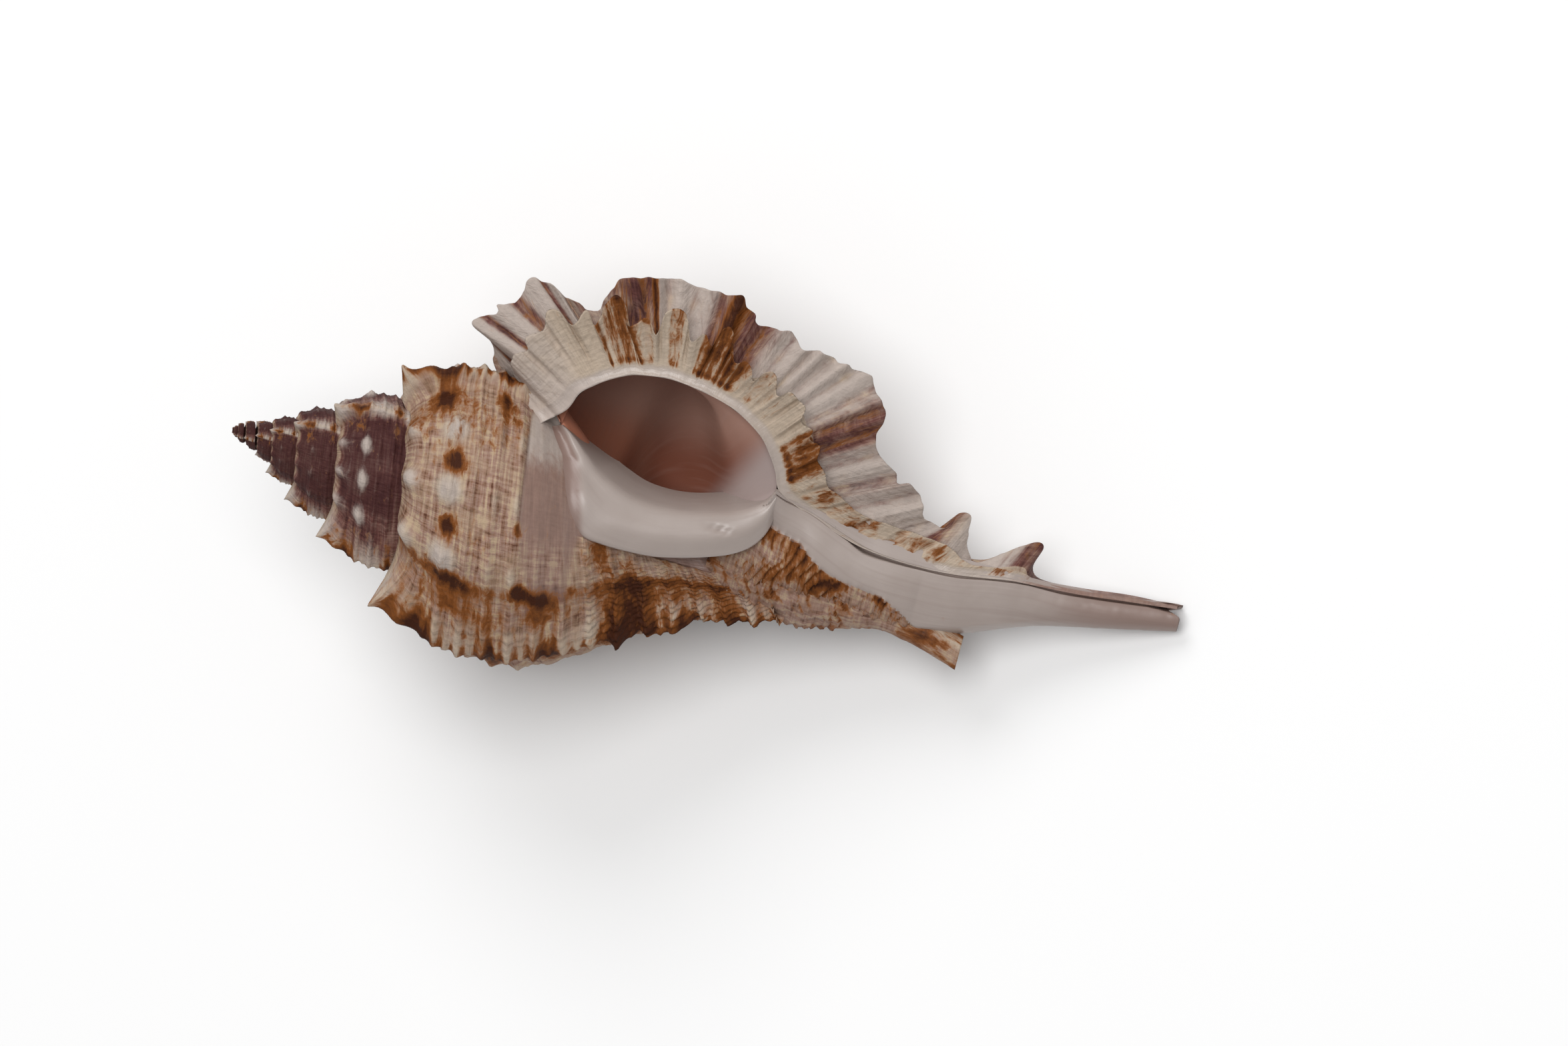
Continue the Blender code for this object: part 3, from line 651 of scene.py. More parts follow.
angles = [BODY_START + 4.0]
while angles[-1] > APEX_ANGLE:
    size_here = growth(angles[-1]) / growth(BODY_START)
    angles.append(angles[-1] - first_step * size_here ** -0.6)
spire_x = np.linspace(20.1, SPIRE_STOP, 64)
spire_angle, spire_across = np.meshgrid(np.array(angles[::-1]), spire_x, indexing="ij")
points, made = whorl_surface(spire_angle, spire_across)
tip = ease(-growth(spire_angle), -0.13, -0.03)
points[..., 1:] *= (1 + 0.4 * tip)[..., None]
points[..., 0] -= 0.7 * tip
skin("spire", points, whorl_paint(made), streak_map(spire_angle, spire_across), ribbed_outside)

# %% [markdown]
# ## The last whorl
# The last whorl is the big one beside the opening. Its surface would run right across the opening,
# so the faces that lie inside the mouth's outline are left out.

# %% The mouth's outline
OUTER_LIP = ((36.0, 10.2, 8.6), (36.5, 12.5, 10.6), (37.8, 14.9, 12.2), (40.0, 16.6, 13.0),
             (42.5, 17.8, 13.2), (45.0, 18.3, 13.3), (47.5, 18.4, 13.3), (50.0, 18.1, 13.2),
             (53.0, 17.5, 13.0), (56.0, 16.3, 12.5), (58.3, 14.8, 11.8), (60.0, 12.9, 10.8),
             (61.2, 10.8, 9.6), (61.7, 9.0, 8.6))
INNER_LIP = ((36.0, 10.2, 8.6), (37.2, 9.2, 9.4), (39.0, 7.3, 10.5), (41.0, 5.5, 10.8),
             (43.0, 4.5, 10.8), (45.5, 3.6, 10.6), (48.5, 3.25, 10.2), (51.5, 3.4, 9.8),
             (54.5, 4.0, 9.3), (57.3, 4.8, 8.9), (59.5, 5.9, 8.6), (60.9, 7.2, 8.4),
             (61.7, 9.0, 8.6))
MOUTH_POINTS = 60


def mouth_loop(count=MOUTH_POINTS):
    """The closed outline of the mouth: out along one lip and back along the other."""
    one, two = smooth(OUTER_LIP, count), smooth(INNER_LIP, count)
    return np.vstack([one, two[-2::-1]])


def inside_outline(points, outline):
    """Which points lie inside a closed outline, looking along Z."""
    x, y = points[..., 0], points[..., 1]
    inside = np.zeros(x.shape, bool)
    for (x1, y1), (x2, y2) in zip(outline[:-1, :2], outline[1:, :2]):
        crosses = (y1 > y) != (y2 > y)
        at = (x2 - x1) * (y - y1) / (y2 - y1 + 1e-12) + x1
        inside ^= crosses & (x < at)
    return inside


# %% [markdown]
# ## Build the last whorl
# The same formula as for the spire makes the last whorl, now with its whole base and with the glaze.
# Where the base runs out into the canal, the canal's own piece takes over, so the strip ends there.

# %% Build the last whorl
BASE_ENDS = 78.0        # X where the canal's own piece takes over
MOUTH_SIDE = 2.0        # Z above which a point is on the mouth's side of the shell
body_angles = np.linspace(BODY_START - 2.0, BODY_END + 2.0, 400)
body_x = np.concatenate([np.linspace(20.1, 48.0, 150, endpoint=False),
                         np.linspace(48.0, 60.0, 44)])
body_angle, body_across = np.meshgrid(body_angles, body_x, indexing="ij")
points, made = whorl_surface(body_angle, body_across, glazed=True)
in_mouth = inside_outline(points, mouth_loop()) & (points[..., 2] > MOUTH_SIDE)
in_canal = points[..., 0] > BASE_ENDS
skin("last_whorl", points, whorl_paint(made), streak_map(body_angle, body_across), ribbed_outside,
     leave_out=in_mouth | in_canal)

# %% [markdown]
# ## The outer lip and its wing
# The outer lip ends in a wing of folded sheets. Next to the opening is a smooth white band, then a
# row of tongue-shaped scales, and behind them a wide fluted sheet. Both outlines are given as
# points at the tips and notches. A cross-section is computed at hundreds of stations along the lip,
# and neighbouring sections are joined, which follows an irregular frill better than a bent plane.

# %% Lines of the lip
# X of the body under the station, then (X, Y, Z) of the margin, the scales' edge and the wing's edge.
WING = (
    (30.0, (33.2, 8.4, 10.6), (30.7, 11.2, 8.2), (28.4, 12.9, 3.0)),
    (30.6, (33.8, 9.8, 10.0), (29.8, 13.4, 8.6), (26.8, 14.9, 2.5)),
    (31.5, (36.2, 12.0, 11.0), (28.7, 16.0, 10.8), (24.8, 17.6, 5.0)),
    (32.5, (37.2, 14.2, 12.2), (29.6, 18.6, 12.8), (23.5, 19.0, 7.0)),
    (34.0, (38.6, 15.5, 12.8), (31.6, 22.4, 14.4), (26.0, 21.8, 8.5)),
    (36.0, (39.8, 16.4, 13.1), (35.2, 22.8, 15.2), (28.8, 25.6, 9.8)),
    (38.0, (41.2, 17.2, 13.2), (36.8, 24.0, 15.4), (34.0, 24.4, 10.8)),
    (40.5, (42.6, 17.8, 13.2), (38.8, 25.6, 15.6), (37.6, 26.8, 11.4)),
    (43.0, (44.6, 18.2, 13.3), (42.2, 24.4, 15.4), (40.5, 28.7, 11.8)),
    (45.5, (46.5, 18.4, 13.3), (45.4, 26.0, 15.6), (44.5, 29.6, 12.0)),
    (48.0, (48.5, 18.3, 13.3), (48.6, 24.4, 15.4), (48.5, 29.2, 12.0)),
    (50.5, (50.5, 18.0, 13.2), (51.8, 25.2, 15.4), (52.2, 29.5, 12.0)),
    (53.0, (52.5, 17.6, 13.0), (54.6, 22.4, 15.0), (55.6, 26.9, 11.8)),
    (55.5, (54.5, 17.0, 12.8), (57.4, 21.8, 14.7), (58.6, 27.0, 11.6)),
    (58.0, (56.5, 16.0, 12.4), (59.9, 20.2, 14.2), (62.5, 25.8, 11.2)),
    (60.5, (58.4, 14.7, 11.8), (62.3, 19.0, 13.6), (68.2, 24.8, 10.6)),
    (62.5, (59.7, 13.2, 11.0), (63.0, 16.8, 12.8), (71.3, 21.0, 10.0)),
    (64.5, (60.9, 11.4, 9.9), (65.2, 15.0, 11.9), (71.4, 18.2, 9.2)),
    (67.0, (61.9, 9.4, 8.8), (66.3, 12.6, 10.6), (73.2, 15.7, 8.0)),
    (70.0, (64.5, 8.1, 7.4), (68.6, 10.5, 8.9), (76.2, 13.9, 6.8)),
    (73.0, (68.0, 6.9, 6.8), (71.6, 9.2, 7.7), (78.0, 12.0, 5.9)),
    (76.0, (72.0, 5.7, 6.2), (75.2, 8.9, 6.7), (79.6, 10.7, 4.9)),
    (78.0, (76.0, 5.2, 5.7), (79.0, 8.7, 5.8), (81.2, 10.5, 4.4)),
    (80.0, (80.0, 5.1, 5.1), (82.4, 8.2, 5.2), (83.3, 12.2, 4.4)),
    (83.5, (83.5, 5.3, 4.6), (84.8, 7.0, 4.6), (85.4, 7.7, 2.6)),
    (87.0, (87.0, 5.8, 4.1), (88.0, 7.3, 3.9), (88.6, 8.9, 2.8)),
    (90.0, (90.0, 6.3, 3.6), (91.0, 7.6, 3.2), (92.3, 11.3, 3.0)),
    (93.0, (93.0, 6.5, 3.0), (93.4, 7.1, 2.5), (93.6, 7.4, 1.2)),
    (98.0, (98.0, 6.8, 2.2), (98.0, 7.3, 1.7), (98.0, 7.6, 0.8)),
    (104.0, (104.0, 7.5, 1.5), (104.0, 8.0, 1.0), (104.0, 8.3, 0.2)),
    (109.4, (109.4, 8.1, 0.8), (109.6, 8.4, 0.4), (109.7, 8.5, -0.3)),
)
EDGE_OUTLINE = ((28.4, 12.9), (26.8, 14.9), (26.3, 16.5),
                (25.5, 17.5), (23.4, 18.5), (23.8, 19.6), (25.6, 20.8),
                (25.5, 21.6), (27.7, 22.4), (28.0, 24.8), (28.8, 25.6), (29.8, 25.3), (31.0, 25.4),
                (33.0, 24.3), (34.5, 24.2), (35.5, 23.6), (36.8, 23.8), (37.1, 25.0), (37.6, 26.8),
                (38.5, 28.0), (40.0, 28.6), (43.0, 29.4), (45.0, 29.6), (47.0, 29.3), (50.5, 29.5),
                (52.2, 29.6), (53.0, 28.7), (54.2, 28.0), (54.5, 27.0), (57.0, 27.1), (58.5, 27.1),
                (60.5, 25.5), (62.5, 25.9), (66.0, 25.1), (68.5, 24.8), (70.0, 22.5), (71.5, 21.1),
                (71.1, 18.0), (72.3, 15.9), (74.5, 14.7), (75.0, 13.8), (76.3, 14.0), (78.0, 12.4),
                (78.5, 10.8), (81.5, 10.3), (82.3, 12.1), (83.8, 12.2), (84.2, 9.0), (85.0, 7.7),
                (86.5, 7.7), (90.0, 10.3), (92.0, 11.4), (92.8, 10.9), (92.2, 8.5), (93.5, 7.4),
                (98.0, 7.6), (104.0, 8.3), (109.7, 8.5))
SCALE_OUTLINE = ((30.7, 11.2), (29.8, 13.4), (29.0, 14.8),
                 (28.7, 16.4), (30.2, 17.4), (29.6, 18.7), (31.3, 20.2),
                 (31.2, 22.2), (32.4, 22.7), (34.4, 21.4), (35.2, 23.0), (35.8, 23.4), (37.0, 22.0),
                 (37.4, 24.6), (38.4, 26.1), (39.8, 25.0), (40.4, 23.0), (41.5, 23.7), (42.6, 24.5),
                 (43.9, 22.8), (44.3, 25.6), (45.7, 26.4), (46.9, 25.5), (47.9, 23.2), (49.2, 24.4),
                 (50.3, 23.2), (51.0, 25.3), (52.0, 25.8), (53.3, 22.2), (54.4, 22.6), (55.3, 21.9),
                 (55.9, 20.6), (57.0, 22.0), (58.3, 21.9), (59.0, 19.8), (60.2, 20.5), (61.4, 19.9),
                 (62.4, 19.2), (62.3, 17.6), (63.8, 17.0), (63.8, 15.9), (65.2, 15.4), (65.2, 13.9),
                 (66.4, 12.8), (67.0, 11.4), (68.8, 10.6), (71.4, 9.3), (75.2, 8.9), (79.0, 8.7),
                 (82.4, 8.2), (84.8, 7.0), (88.0, 7.3), (91.0, 7.6), (93.4, 7.1), (98.0, 7.3),
                 (104.0, 8.0), (109.6, 8.4))
FOLD_CRESTS = ((26.5, 15.8), (23.5, 18.7), (25.8, 21.0), (28.4, 25.2), (31.2, 25.3), (34.2, 24.2),
               (37.2, 26.2), (39.6, 28.5), (42.4, 29.2), (45.2, 29.6), (48.6, 29.3), (52.1, 29.6),
               (54.4, 27.6), (57.8, 27.1), (60.4, 25.5), (62.6, 25.9), (65.6, 25.2), (68.5, 24.8),
               (70.2, 22.2), (71.4, 20.6), (71.3, 17.6), (73.0, 15.6), (76.2, 14.0), (78.2, 11.8),
               (81.6, 10.6), (84.1, 9.8), (88.0, 8.8), (90.6, 10.8), (92.6, 9.6), (94.5, 7.4),
               (98.0, 7.6), (104.0, 8.3), (109.7, 8.5))
SCALE_TIPS = ((29.8, 13.4), (28.7, 16.2), (29.7, 18.7), (31.8, 22.6), (35.6, 23.3), (38.4, 26.1),
              (42.4, 24.4), (45.6, 26.4), (49.2, 24.4), (51.7, 25.8), (54.6, 22.6), (57.7, 22.1),
              (60.3, 20.4), (62.4, 19.1), (63.9, 16.8), (65.2, 15.1), (66.5, 12.6), (68.6, 10.7),
              (71.4, 9.3), (75.2, 8.9), (79.0, 8.7), (82.4, 8.2), (84.8, 7.0), (88.0, 7.3),
              (91.0, 7.6), (93.4, 7.1), (98.0, 7.3), (104.0, 8.0), (109.6, 8.4))

print("the wing is read from", len(WING), "stations")

# %% [markdown]
# ## Walk along both outlines
# The coarse stations say where a section goes, and the fine outlines say where its tips and notches
# are. Both are walked in step. The edges are worn, so a little grain makes them ragged. The places of
# the crests give the folds a phase, a number that grows by one from each crest to the next.

# %% Stations along the lip
def lengths_near(line, places):
    """How far along `line` each of the places is, always moving on."""
    gaps = np.linalg.norm(line[None, :, :2] - np.asarray(places, float)[:, None, :2], axis=2)
    found, start = [], 0
    for row in gaps:
        start = start + int(np.argmin(row[start:start + len(line) // 6]))
        found.append(start)
    return lengths_along(line)[found]


def follow(outline, coarse):
    """The detailed outline, walked in step with the coarse stations, and the lengths walked."""
    dense = smooth(outline, 3000)
    walked = lengths_near(dense, coarse)
    walked = np.maximum.accumulate(walked)
    soft = np.convolve(np.pad(walked, 6, mode="edge"), np.ones(13) / 13, mode="valid")
    length = lengths_along(dense)
    return np.column_stack([np.interp(soft, length, dense[:, k]) for k in (0, 1)]), soft, dense


STATIONS = 560
rows = smooth(np.array([[row[0], *row[1], *row[2], *row[3]] for row in WING]), STATIONS)
foot_x, margin, scale_edge, wing_edge = rows[:, 0], rows[:, 1:4], rows[:, 4:7], rows[:, 7:10]
wing_edge[:, :2], edge_length, edge_line = follow(EDGE_OUTLINE, wing_edge)
scale_edge[:, :2], scale_length, scale_line = follow(SCALE_OUTLINE, scale_edge)
for edge, depth, seed in ((wing_edge, 0.32, 11), (scale_edge, 0.16, 12)):
    outward = edge[:, :2] - margin[:, :2]
    outward /= np.linalg.norm(outward, axis=1)[:, None] + 0.5
    ragged = grain(edge, 0.9, seed) * ease(-foot_x, -92.0, -84.0)
    edge[:, :2] += depth * ragged[:, None] * outward
fold_phase = np.interp(edge_length, lengths_near(edge_line, FOLD_CRESTS), np.arange(len(FOLD_CRESTS)))
tongue_phase = np.interp(scale_length, lengths_near(scale_line, SCALE_TIPS), np.arange(len(SCALE_TIPS)))
print("the wing's edge is", round(float(edge_length[-1]), 1), "mm long")

# %% [markdown]
# ## Where the lip is fixed
# The back of the wing grows out of the last whorl, and further on out of the canal. So the canal's
# table comes first: X, then the middle and half the width in Y, then the middle and half the depth
# in Z. A station's foot lies on the whorl's outline and moves over to the canal's as that gets slim.

# %% The canal's table and the lip's foot
CANAL = ((50.0, 3.0, 4.0, -1.0, 5.0), (58.0, 3.2, 5.0, -0.3, 6.0), (62.0, 3.6, 5.0, 0.2, 6.4),
         (66.0, 3.4, 4.9, 0.4, 6.0), (70.0, 3.1, 5.0, 0.4, 5.5), (74.0, 2.7, 5.0, 0.4, 5.0),
         (78.0, 2.6, 5.0, 0.3, 4.6), (82.0, 2.9, 4.8, 0.2, 4.3), (86.0, 3.4, 4.3, 0.0, 3.9),
         (90.0, 4.1, 3.4, -0.1, 3.3), (94.0, 4.8, 2.6, -0.2, 2.7), (98.0, 5.4, 2.2, -0.3, 2.2),
         (102.0, 6.0, 1.95, -0.4, 1.9), (106.0, 6.6, 1.65, -0.5, 1.6), (110.0, 7.2, 1.35, -0.6, 1.3))
CANAL_LINE = smooth(CANAL, 200)


def lip_foot():
    """Where the back of the wing meets the whorl or the canal, and 1 on the whorl to 0 on the canal."""
    size = growth(BODY_END)
    radius = size * np.interp(foot_x / size, WHORL_LINE[:, 0], WHORL_LINE[:, 1])
    slim = np.interp(foot_x, [70.0, 86.0], [1.0, 0.0])
    half = np.interp(foot_x, CANAL_LINE[:, 0], CANAL_LINE[:, 2])
    middle = np.interp(foot_x, CANAL_LINE[:, 0], CANAL_LINE[:, 1]) - canal_bend(foot_x)
    radius = slim * radius + (1 - slim) * half
    centre = (1 - slim) * middle
    turn = math.radians(BODY_END)
    return np.column_stack([foot_x, centre + radius * math.cos(turn) + canal_bend(foot_x),
                            radius * math.sin(turn)]), slim


foot, slim = lip_foot()
print("the canal narrows from", 2 * CANAL[0][2], "to", 2 * CANAL[-1][2], "mm")

# %% [markdown]
# ## Sections through the lip
# Each section starts inside the mouth, turns over the margin, climbs to the scales' edge, drops
# behind it, runs out over the fluted sheet to the wing's edge and returns over the back. The first
# part is the inner wall and the tongue-shaped scales, which rise in the middle and have fine ribs.

# %% Inner wall and scales
SHEET_STEPS, BACK_STEPS = ((30, 34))


def line_between(one, two, share):
    """Points from one line to the other: stations by steps by three."""
    return one[:, None, :] + (two - one)[:, None, :] * share[None, :, None]


thick = (0.35 + 0.65 * slim)[:, None]
down = np.array([0.0, 0.0, -1.0])
root = 0.62 * margin + 0.38 * wing_edge + 0.1 * down
long_part = ease(-foot_x, -84.0, -72.0)[:, None]      # 1 on the wing, 0 along the thin canal
tongue = tongue_phase - np.round(tongue_phase)         # 0 on a tongue's middle, 0.5 in a notch
fold_wave = np.cos(2 * np.pi * fold_phase)
tip_height = (0.5 + 0.5 * np.cos(2 * np.pi * tongue_phase)) ** 0.6

share = np.linspace(0, 1, SHEET_STEPS)
fan = share[None, :]
round_mouth = ease(-margin[:, 0], -63.0, -60.5)[:, None]     # 1 round the mouth, 0 along the canal
wall_drop = (round_mouth * np.array([0.0, 0.9, -3.4])
             + (1 - round_mouth) * np.array([0.0, 0.25, -1.7]) * (0.4 + 0.6 * slim)[:, None])
inner_wall = line_between(margin + wall_drop, margin + 0.25 * down, np.linspace(0, 1, 6, endpoint=False))
scales = line_between(margin, scale_edge, share)
radial = np.linalg.norm(scale_edge - margin, axis=1)[:, None] * fan
open_up = ease(fan, 0.12, 0.9)
ribs = np.cos(2 * np.pi * 6 * tongue)[:, None]
scales[..., 2] += long_part * (-0.55 * np.sin(np.pi * fan) - 0.25 * ease(fan, 0.0, 0.06)
                               + open_up * (1.30 * (tip_height[:, None] - 0.6) + 0.07 * ribs)
                               + 0.34 * open_up * hill(np.abs(tongue), 0.33, 0.075)[:, None]
                               - 0.30 * open_up * hill(tongue, 0.0, 0.15)[:, None])
print("the longest scale reaches", round(float(radial[:, -1].max()), 1), "mm from the margin")

# %% [markdown]
# ## The fluted sheet and its back
# Behind the scales the surface drops to the sheet's root. The folds are waves that share their phase
# from root to edge, so they fan out as on the real wing, and they grow towards the edge. The back
# returns on a curve with one bend, a quadratic Bezier curve, and the folds fade out along it.

# %% Sheet and back
scale_back = 0.88 * scale_edge + 0.12 * margin
scale_back[:, 2] += (scales[:, -1, 2] - scale_edge[:, 2]) - 0.75 * thick[:, 0]
under_scales = line_between(scale_back, root, np.linspace(0, 1, 6, endpoint=False))
sheet = line_between(root, wing_edge, share)
striae = np.cos(2 * np.pi * 5 * fold_phase)[:, None]
fold_mood = 0.75 + 0.35 * np.sin(1.7 * fold_phase + 0.6)[:, None]
sheet_rise = long_part * (0.15 + 0.65 * fan) * (0.80 * fold_mood * fold_wave[:, None] + 0.07 * striae)
sheet[..., 2] += sheet_rise - 0.5 * long_part * np.sin(np.pi * fan)
edge_back = wing_edge + 0.85 * thick * down
edge_back[:, 2] += sheet_rise[:, -1]
bend = 0.55 * foot + 0.45 * wing_edge + np.array([0.0, 0.2, -0.9]) * slim[:, None]
back_share = np.linspace(0, 1, BACK_STEPS)[None, :, None]
back = ((1 - back_share) ** 2 * edge_back[:, None] + 2 * back_share * (1 - back_share) * bend[:, None]
        + back_share ** 2 * foot[:, None])
back_fade = 1 - back_share[..., 0]
back[..., 2] += long_part * 0.75 * fold_wave[:, None] * (back_fade ** 1.5 - back_fade ** 12)
rooted = foot + np.array([0.0, -1.2, -0.4]) * (0.3 + 0.7 * slim)[:, None]      # inside the whorl
lip_grid = np.concatenate([inner_wall, scales, under_scales, sheet, back, rooted[:, None]], axis=1)
print("the lip is a grid of", lip_grid.shape[0], "by", lip_grid.shape[1])

# %% [markdown]
# ## Rough and draped
# Every point of the grid knows its zone, such as the scales or the back, and how far across that
# zone it is. Thin growth steps cross the scales and the back of the wing. Beside the spire the first
# folds would stand over the whorl, so they are laid down on it, like cloth.

# %% Roughen and drape the lip
counts = [part.shape[1] for part in (inner_wall, scales, under_scales, sheet, back)] + [1]
zone = np.repeat(np.arange(len(counts)), counts)[None, :] * np.ones((STATIONS, 1))
WALL, SCALES, UNDER, SHEET, BACK = range(5)
reach = np.concatenate([np.linspace(0, 1, count) for count in counts])[None, :] * np.ones_like(zone)
rough = grain(lip_grid, 1.6, 4)
fine = grain(lip_grid, 0.6, 5)
steps = np.mod(reach * 9.0 + 0.7 * rough, 1.0)
on_back, on_scales = zone == BACK, zone == SCALES
lift = long_part * (0.28 * on_back * steps * (reach > 0.03)
                    + 0.10 * on_scales * steps * ease(reach, 0.2, 0.5))
lift += 0.08 * fine * ((zone == SHEET) | on_scales & (reach > 0.25)) + 0.15 * rough * on_back
lip_grid[..., 2] += lift * np.where(on_back, -1.0, 1.0)
draped = (1 - ease(foot_x, 30.0, 31.3))[:, None] * (zone < BACK)
over_whorl = lip_grid[..., 2] - whorl_height(lip_grid[..., 0], lip_grid[..., 1]) - 0.15
laid_down = draped * np.maximum(over_whorl, 0)
lip_grid[..., 2] -= laid_down
print("the first folds are laid down by up to", round(float(laid_down.max()), 1), "mm")

# %% [markdown]
# ## Where the lip has marks
# A mark is placed by how far along the lip it is, read as X of the scales' edge or of the wing's.
# `plateau` marks a stretch and `hill` a spot. Rust is strongest on three groups of scales, in streaks
# or on the tongues' sides. The sheet is purple-brown mostly in three places.

# %% Marks along the lip
sx, ex, ey = scale_edge[:, :1], wing_edge[:, :1], wing_edge[:, 1:2]
streaks = (0.80 + 0.20 * np.cos(2 * np.pi * 3 * tongue))[:, None]
sides = hill(np.abs(tongue), 0.36, 0.10)[:, None]
scale_rust = np.maximum.reduce([
    0.85 * plateau(sx, 35.0, 37.2, 0.3) * sides,
    plateau(sx, 37.3, 39.7, 0.3) * streaks,
    plateau(sx, 39.8, 43.2, 0.3) * np.maximum(sides, 0.55 * streaks),
    0.50 * plateau(sx, 44.8, 46.8, 0.4),
    0.95 * plateau(sx, 49.2, 55.4, 0.4) * streaks,
    0.45 * hill(sx, 57.8, 0.9),
    0.2 * hill(sx, 33.0, 1.2),
    0.25 * hill(sx, 60.5, 1.0),
    0.95 * plateau(sx, 63.6, 66.4, 0.7) * (0.5 + 0.5 * streaks),
    0.4 * hill(sx, 68.0, 1.3)])
CANAL_SPOTS = ((73.0, 0.9), (77.3, 0.8), (79.6, 0.9), (82.0, 0.8), (89.0, 1.0))
canal_spots = sum(hill(sx, middle, width) for middle, width in CANAL_SPOTS)
sheet_purple = (hill(ex, 39.6, 2.4) * (ey > 24.5) + hill(ex, 53.4, 3.6) + 0.55 * hill(ex, 34.5, 1.6)
                + 0.95 * hill(ey, 20.0, 2.4) * (ex > 66) + 0.3 * hill(ex, 75.5, 1.5) * (ey < 16)
                + 0.8 * hill(ex, 82.0, 1.0) + 0.6 * hill(ex, 91.8, 1.2))
fold_line = (0.5 - 0.5 * fold_wave[:, None]) ** 3
early_folds = 0.55 * fold_line * ease(-ex, -34.0, -31.0)
dark_ridge = np.maximum(hill(ex, 42.1, 0.35), 1.1 * hill(ex, 52.0, 0.7)) * (ey > 24)
band = ease(radial[:, -1:] * reach, 0.9, 1.7)
thin_canal = ease(foot_x, 86.0, 96.0)[:, None] * np.ones_like(reach)
grey = 0.14 + 0.30 * fold_line
print("rust covers", round(100 * float((scale_rust > 0.4).mean())), "% of the scales' stations")

# %% [markdown]
# ## Paint and build the lip
# Rust, mauve and white are sums of these marks, chosen by zone. Next to the opening the marks only
# start about a millimetre from the margin, which leaves a clean porcelain band. Along the thin canal
# the lip turns greyer and shinier.

# %% Paint and build the lip
rust = np.where(on_scales, scale_rust * band * (0.52 + 0.28 * ease(reach, 0.1, 0.7) + 0.20 * rough), 0.0)
rust += on_scales * 0.4 * scale_rust * hill(radial[:, -1:] * reach, 1.9, 0.35)
rust = np.where(zone == UNDER, 0.8 * scale_rust, rust)
rust += np.where(zone == SHEET, sheet_purple * (0.18 + 0.30 * fold_line) + 1.0 * dark_ridge
                 + 0.5 * early_folds, 0.0)
rust += on_scales * canal_spots * (0.42 + 0.3 * rough) * hill(reach, 0.55, 0.4) * (sx > 70)
rust += on_scales * (0.20 + 0.2 * rough) * band * ease(sx, 66.5, 70.0) * (1 - thin_canal)
rust += np.where(on_back, 0.55 * sheet_purple + 0.30 * rough, 0.0)
mauve = np.where(zone == SHEET, 0.45 + 0.30 * sheet_purple + grey * rough + 0.4 * early_folds,
                 0.30 * on_scales * (1 - band))
mauve += np.where(on_back, 0.4 * sheet_purple + 0.25, 0.0) + np.where(zone == WALL, 0.35 * (1 - reach), 0)
white = np.where(on_scales, 0.95 - 0.6 * band * scale_rust, 0.0)
white += np.where(zone == SHEET, 0.85 - 1.2 * sheet_purple - 0.25 * fold_line - early_folds, 0.0)
white += np.where(on_back, 0.35, 0.0) + np.where((zone == WALL) | (zone == UNDER), 0.7, 0.0)
white *= 1 - 0.9 * thin_canal
mauve += 0.25 * thin_canal
gloss = np.where(on_scales, 0.85 - 0.6 * band, 0.25) + 0.5 * (zone == WALL)
gloss = np.maximum(gloss, 0.7 * thin_canal)
mauve += 0.35 * on_scales * (1 - ease(foot_x, 31.0, 35.0))[:, None]
across = np.linalg.norm(np.diff(lip_grid, axis=1), axis=2).cumsum(axis=1)
across = np.hstack([np.zeros((STATIONS, 1)), across])
lip_streak = np.stack([across, np.broadcast_to(edge_length[:, None], across.shape)], -1)
skin("winged_lip", lip_grid, stains(zone.shape, rust, mauve, white, gloss), lip_streak, ribbed_outside)

# %% [markdown]
# ## The inner lip
# Opposite the wing the lip is a smooth white shelf that stands a little off the whorl, with a shadow
# under its free edge. It is lofted between two edges: the one at the opening and the free one. The
# corners of a section are offsets from them, so one recipe follows both edges all the way.

# %% Loft the shelf
SHELF_EDGE = ((33.0, 9.0, 9.4), (35.5, 5.5, 11.5), (38.5, 1.5, 12.0), (41.2, -1.2, 11.1),
              (43.8, -1.7, 10.6), (47.0, -1.75, 9.9), (50.0, -1.55, 9.3), (53.0, -0.9, 8.8),
              (56.0, 0.0, 8.3), (58.5, 1.0, 7.9), (60.5, 2.4, 7.6), (61.7, 4.2, 7.4),
              (62.2, 6.2, 7.3))
SHELF_STATIONS = 200
opening = smooth(INNER_LIP, SHELF_STATIONS)
free = smooth(SHELF_EDGE, SHELF_STATIONS)
at = np.linspace(0, 1, SHELF_STATIONS)
full = np.interp(at, [0.0, 0.25, 0.8, 1.0], [0.2, 1.0, 1.0, 0.4])[:, None]
inward = opening - free
inward[:, 2] = 0.0
inward /= np.linalg.norm(inward, axis=1)[:, None]
up_axis = np.array([0.0, 0.0, 1.0])
corners = np.stack([free + 0.9 * inward - 2.4 * up_axis, free + 0.15 * inward - 0.9 * up_axis, free,
                    free + 0.45 * inward + 0.25 * up_axis,
                    0.5 * (opening + free) + full * 0.72 * up_axis,
                    opening - 0.5 * inward + 0.2 * up_axis,
                    opening + full * (0.5 * inward - 0.25 * up_axis),
                    opening + full * (1.4 * inward - 1.6 * up_axis),
                    opening + full * 3.4 * inward - 6.5 * up_axis], axis=1)
SHELF_ACROSS = 40
shelf_grid = np.stack([smooth(section, SHELF_ACROSS) for section in corners])
shelf_width = np.linalg.norm(opening - free, axis=1)
print("the shelf is up to", round(float(shelf_width.max()), 1), "mm wide")

# %% [markdown]
# ## Lay the shelf on the whorl
# Towards the spire, before a crease, the shelf has no free edge but lies on the whorl. There its
# points are lowered to just over the whorl's plain surface, and the two shapes are blended. Near the
# canal a short groove runs along it. The crease and the groove are mauve.

